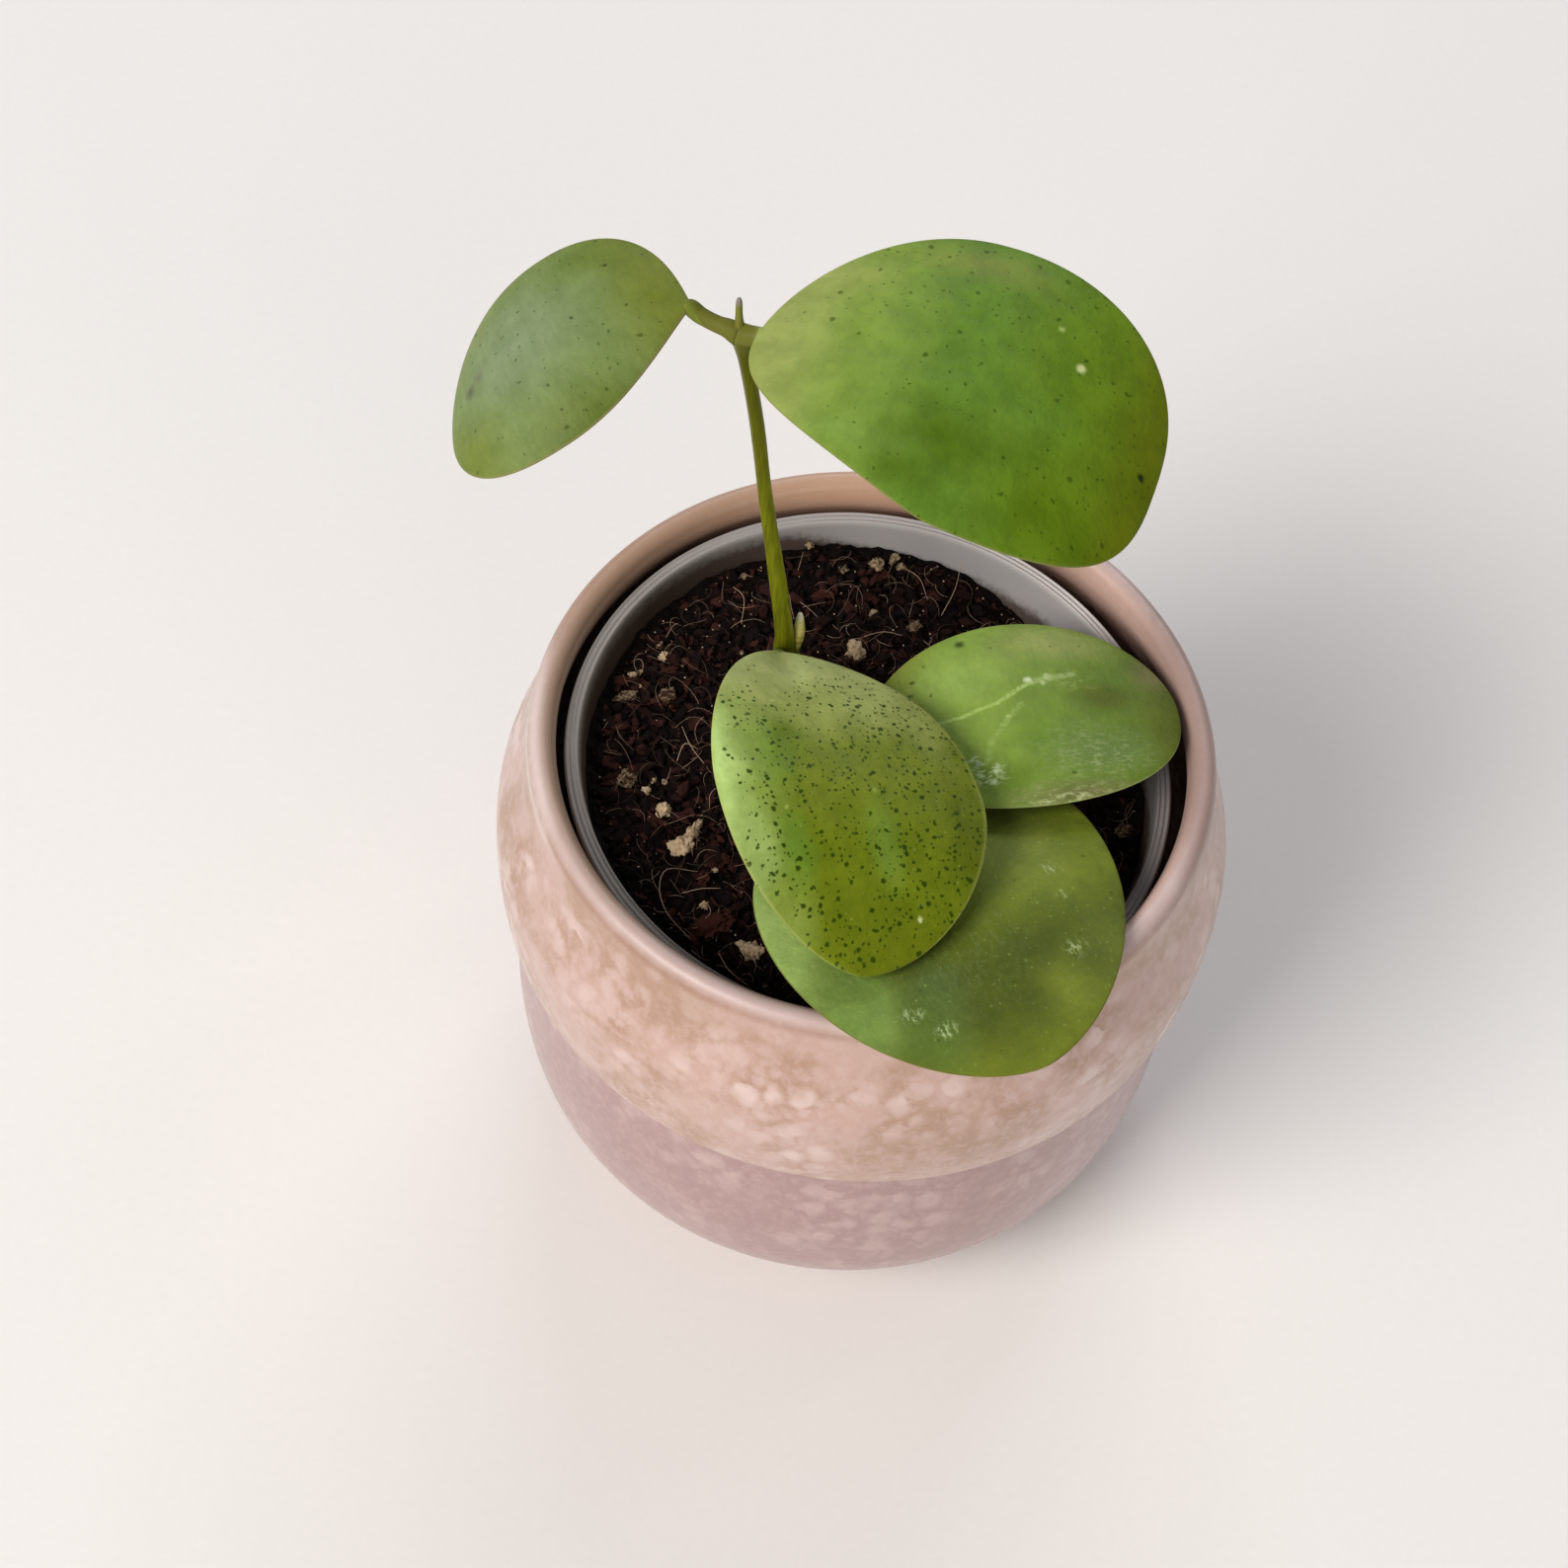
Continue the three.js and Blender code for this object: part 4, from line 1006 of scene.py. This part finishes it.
def leaf_axes(leaf):
    """Unit vectors along, across and out of a leaf, and its length."""
    along = Vector(leaf["tip"]) - Vector(leaf["base"])
    length = along.length
    along.normalize()
    level = along.cross((0, 0, 1)).normalized()
    up = level.cross(along)
    roll = radians(leaf["roll"])
    across = level * cos(roll) + up * sin(roll)
    normal = up * cos(roll) - level * sin(roll)
    return along, across, normal, length


def blade_point(leaf, axes, t, x, offset):
    """A point of the blade: t runs from base to tip, x is millimetres across from the midrib."""
    along, across, normal, length = axes
    share = x / (leaf["left"] if x < 0 else leaf["right"])[0]
    arch = 4 * t * (1 - t)
    rise = leaf["crown"] * arch - leaf["cup"] * share ** 2 + leaf["twist"] * share * (2 * t - 1) + offset
    return Vector(leaf["base"]) + along * (t * length) + across * (x + leaf["sweep"] * arch) + normal * rise


def blade(bm, leaf, axes, seed):
    """A ball pressed flat between its poles, which become the leaf's base and tip.

    The attribute skin holds a point's distance from the rim, whether it is below, and how far it is stalk.
    """
    uv = bm.loops.layers.uv.new("leaf")
    skin = bm.verts.layers.float_vector.new("skin")
    ball = bmesh.ops.create_uvsphere(bm, u_segments=168, v_segments=120, radius=1)["verts"]
    flat = {}
    for v in ball:
        t = min(1, max(0, (1 - v.co.z) / 2))
        ring = hypot(v.co.x, v.co.y)
        s = v.co.y / ring if ring > 1e-6 else 0
        rise = -v.co.x / ring if ring > 1e-6 else 0
        width = half_width(leaf["left"] if s < 0 else leaf["right"], t)
        x = s * width
        body = abs(rise) ** 0.75 * (4 * t * (1 - t)) ** 0.3
        swell = noise.fractal(Vector((t * axes[3] / 15, x / 15, seed)), 1, 2, 2)
        ripple = 0.28 * swell * min(1, (1 - abs(s)) * 3 + 0.3)
        groove = MIDRIB_GROOVE * exp(-(x / 1.8) ** 2) * max(0, 1 - t / 0.8) * min(1, 12 * t)
        if "dent" in leaf:
            at, aside, long, wide, depth = leaf["dent"]
            groove += depth * exp(-((t * axes[3] - at) / long) ** 2 - ((x - aside) / wide) ** 2)
        offset = copysign(BLADE_THICKNESS / 2 * body, rise) + ripple - groove * (0.5 + 0.5 * rise)
        v.co = blade_point(leaf, axes, t, x, offset)
        edge = leaf.get("rim_span", width) * (1 - abs(s))
        v[skin] = (edge, min(1, max(0, 0.5 - 4 * rise)), 0)
        flat[v] = (t * axes[3] / LEAF_UV_SPAN, x / LEAF_UV_SPAN + 0.5)
    for face in bm.faces:
        for loop in face.loops:
            loop[uv].uv = flat[loop.vert]


def petiole(leaf, axes):
    """The stalk, thick at the stem, ends under the blade, where the midrib starts and fades out."""
    bm = bmesh.new()
    uv = bm.loops.layers.uv.new("leaf")
    skin = bm.verts.layers.float_vector.new("skin")
    t, x, offset = leaf["join"]
    joint = blade_point(leaf, axes, t, x, offset)
    points = [Vector(p) for p in leaf["petiole"]] + [joint]
    ahead = ((points[-1] - points[-2]).normalized() + axes[0]).normalized()
    points.append(joint + STALK_RUN * ahead - 0.9 * axes[2])
    length = sum((q - p).length for p, q in zip(points, points[1:]))

    def stalk_radius(u):
        left = (1 - u) * length
        flare = STALK_FLARE * exp(-(u * length / 2.2) ** 2)
        collar = STALK_COLLAR * exp(-((left - STALK_RUN - 0.6) / 1.3) ** 2)
        return max(0.1, (PETIOLE_RADIUS + flare + collar) * min(1, left / STALK_RUN) ** 0.6)

    sweep(bm, smooth_path(points, 60), stalk_radius, 20)
    below = -0.5 * BLADE_THICKNESS - 0.1
    rib = [blade_point(leaf, axes, t + u, x * (1 - u) ** 4, below) for u in (0.03, 0.15, 0.3, 0.55)]
    sweep(bm, smooth_path(rib, 40), lambda u: 0.12 + 0.55 * (1 - u) ** 1.5, 12)
    for v in bm.verts:
        gone = (v.co - Vector(leaf["base"])).dot(axes[0])
        bark = (v.co - joint).length / STALK_GREENING if gone < 0 else -gone / STALK_FADE
        v[skin] = (5, 0 if gone < 1 else 1, min(1, max(0, bark)))
        for loop in v.link_loops:
            loop[uv].uv = (0, 0.5)
    return bm


def leaf(name, seed):
    form = LEAVES[name]
    axes = leaf_axes(form)
    bm = bmesh.new()
    blade(bm, form, axes, seed)
    absorb(bm, petiole(form, axes))
    title = "hoya leaf, waxy cuticle, " + name.removeprefix("leaf_").replace("_", " ")
    piece(name + "_blade", bm, material(title, leaf_skin, LEAF_LOOKS[name]), form["slot"], name)


# Floor, lights and camera

def studio_paper(add):
    grain = add("TexNoise", object_mm(add), 1 / 1.5)
    return {"Base Color": add("Mix", grain, "#f1efed", "#f5f3f1"), "Roughness": 0.9}


def floor():
    """A sheet of pale studio paper, which isn't part of the object."""
    bm = bmesh.new()
    bmesh.ops.create_grid(bm, x_segments=1, y_segments=1, size=FLOOR_REACH)
    sheet = placed("studio_floor", bm)
    sheet.data.materials.append(material("pale studio paper", studio_paper))


def softbox(name, place, target, size, power, tint):
    light = bpy.data.lights.new(name, "AREA")
    light.shape = "RECTANGLE"
    light.size, light.size_y = size
    light.energy = power
    light.color = colour(tint)[:3]
    made = bpy.data.objects.new(name, light)
    made.location = place
    made.rotation_euler = (Vector(target) - Vector(place)).to_track_quat("-Z", "Y").to_euler()
    bpy.context.scene.collection.objects.link(made)


def studio():
    world = bpy.data.worlds.new("soft room light")
    bpy.context.scene.world = world
    world.use_nodes = True
    world.node_tree.nodes.clear()
    add = partial(node, world.node_tree)
    add("OutputWorld", add("Background", "#f4f4f4", 0.27))
    middle = (0, 0, 0.09)
    softbox("window", (-1.6, -1.4, 1.85), middle, (1.4, 1.4), 67, "#fffaf4")
    softbox("sky", (0.25, 2.1, 1.7), middle, (1.8, 1.0), 21, "#f4f6ff")
    softbox("far_window", (1.6, 1.15, 1.3), middle, (0.24, 1.3), 1.6, "#fff4ec")
    softbox("low_fill", (1.1, -1.8, 0.75), middle, (1.6, 0.8), 8, "#fff6ee")
    bpy.context.scene.view_settings.view_transform = "Standard"


def camera():
    lens = bpy.data.cameras.new("camera")
    lens.sensor_width = SENSOR
    lens.lens = CAMERA_FOCAL_PIXELS / PHOTO_PIXELS * SENSOR
    lens.clip_start = 0.01
    made = bpy.data.objects.new("camera", lens)
    tilt = Matrix.Rotation(radians(90 - CAMERA_ELEVATION), 4, "X")
    roll = Matrix.Rotation(radians(CAMERA_ROLL), 4, "Z")
    made.matrix_world = Matrix.Translation(CAMERA_PLACE * MM) @ tilt @ roll
    bpy.context.scene.collection.objects.link(made)
    bpy.context.scene.camera = made


camera()
studio()
floor()
cachepot()
nursery_pot()
soil()
perlite()
bark()
coir()
stem()
axillary_bud()
for seed, name in enumerate(LEAVES):
    leaf(name, 10 * seed)

bpy.context.view_layer.update()
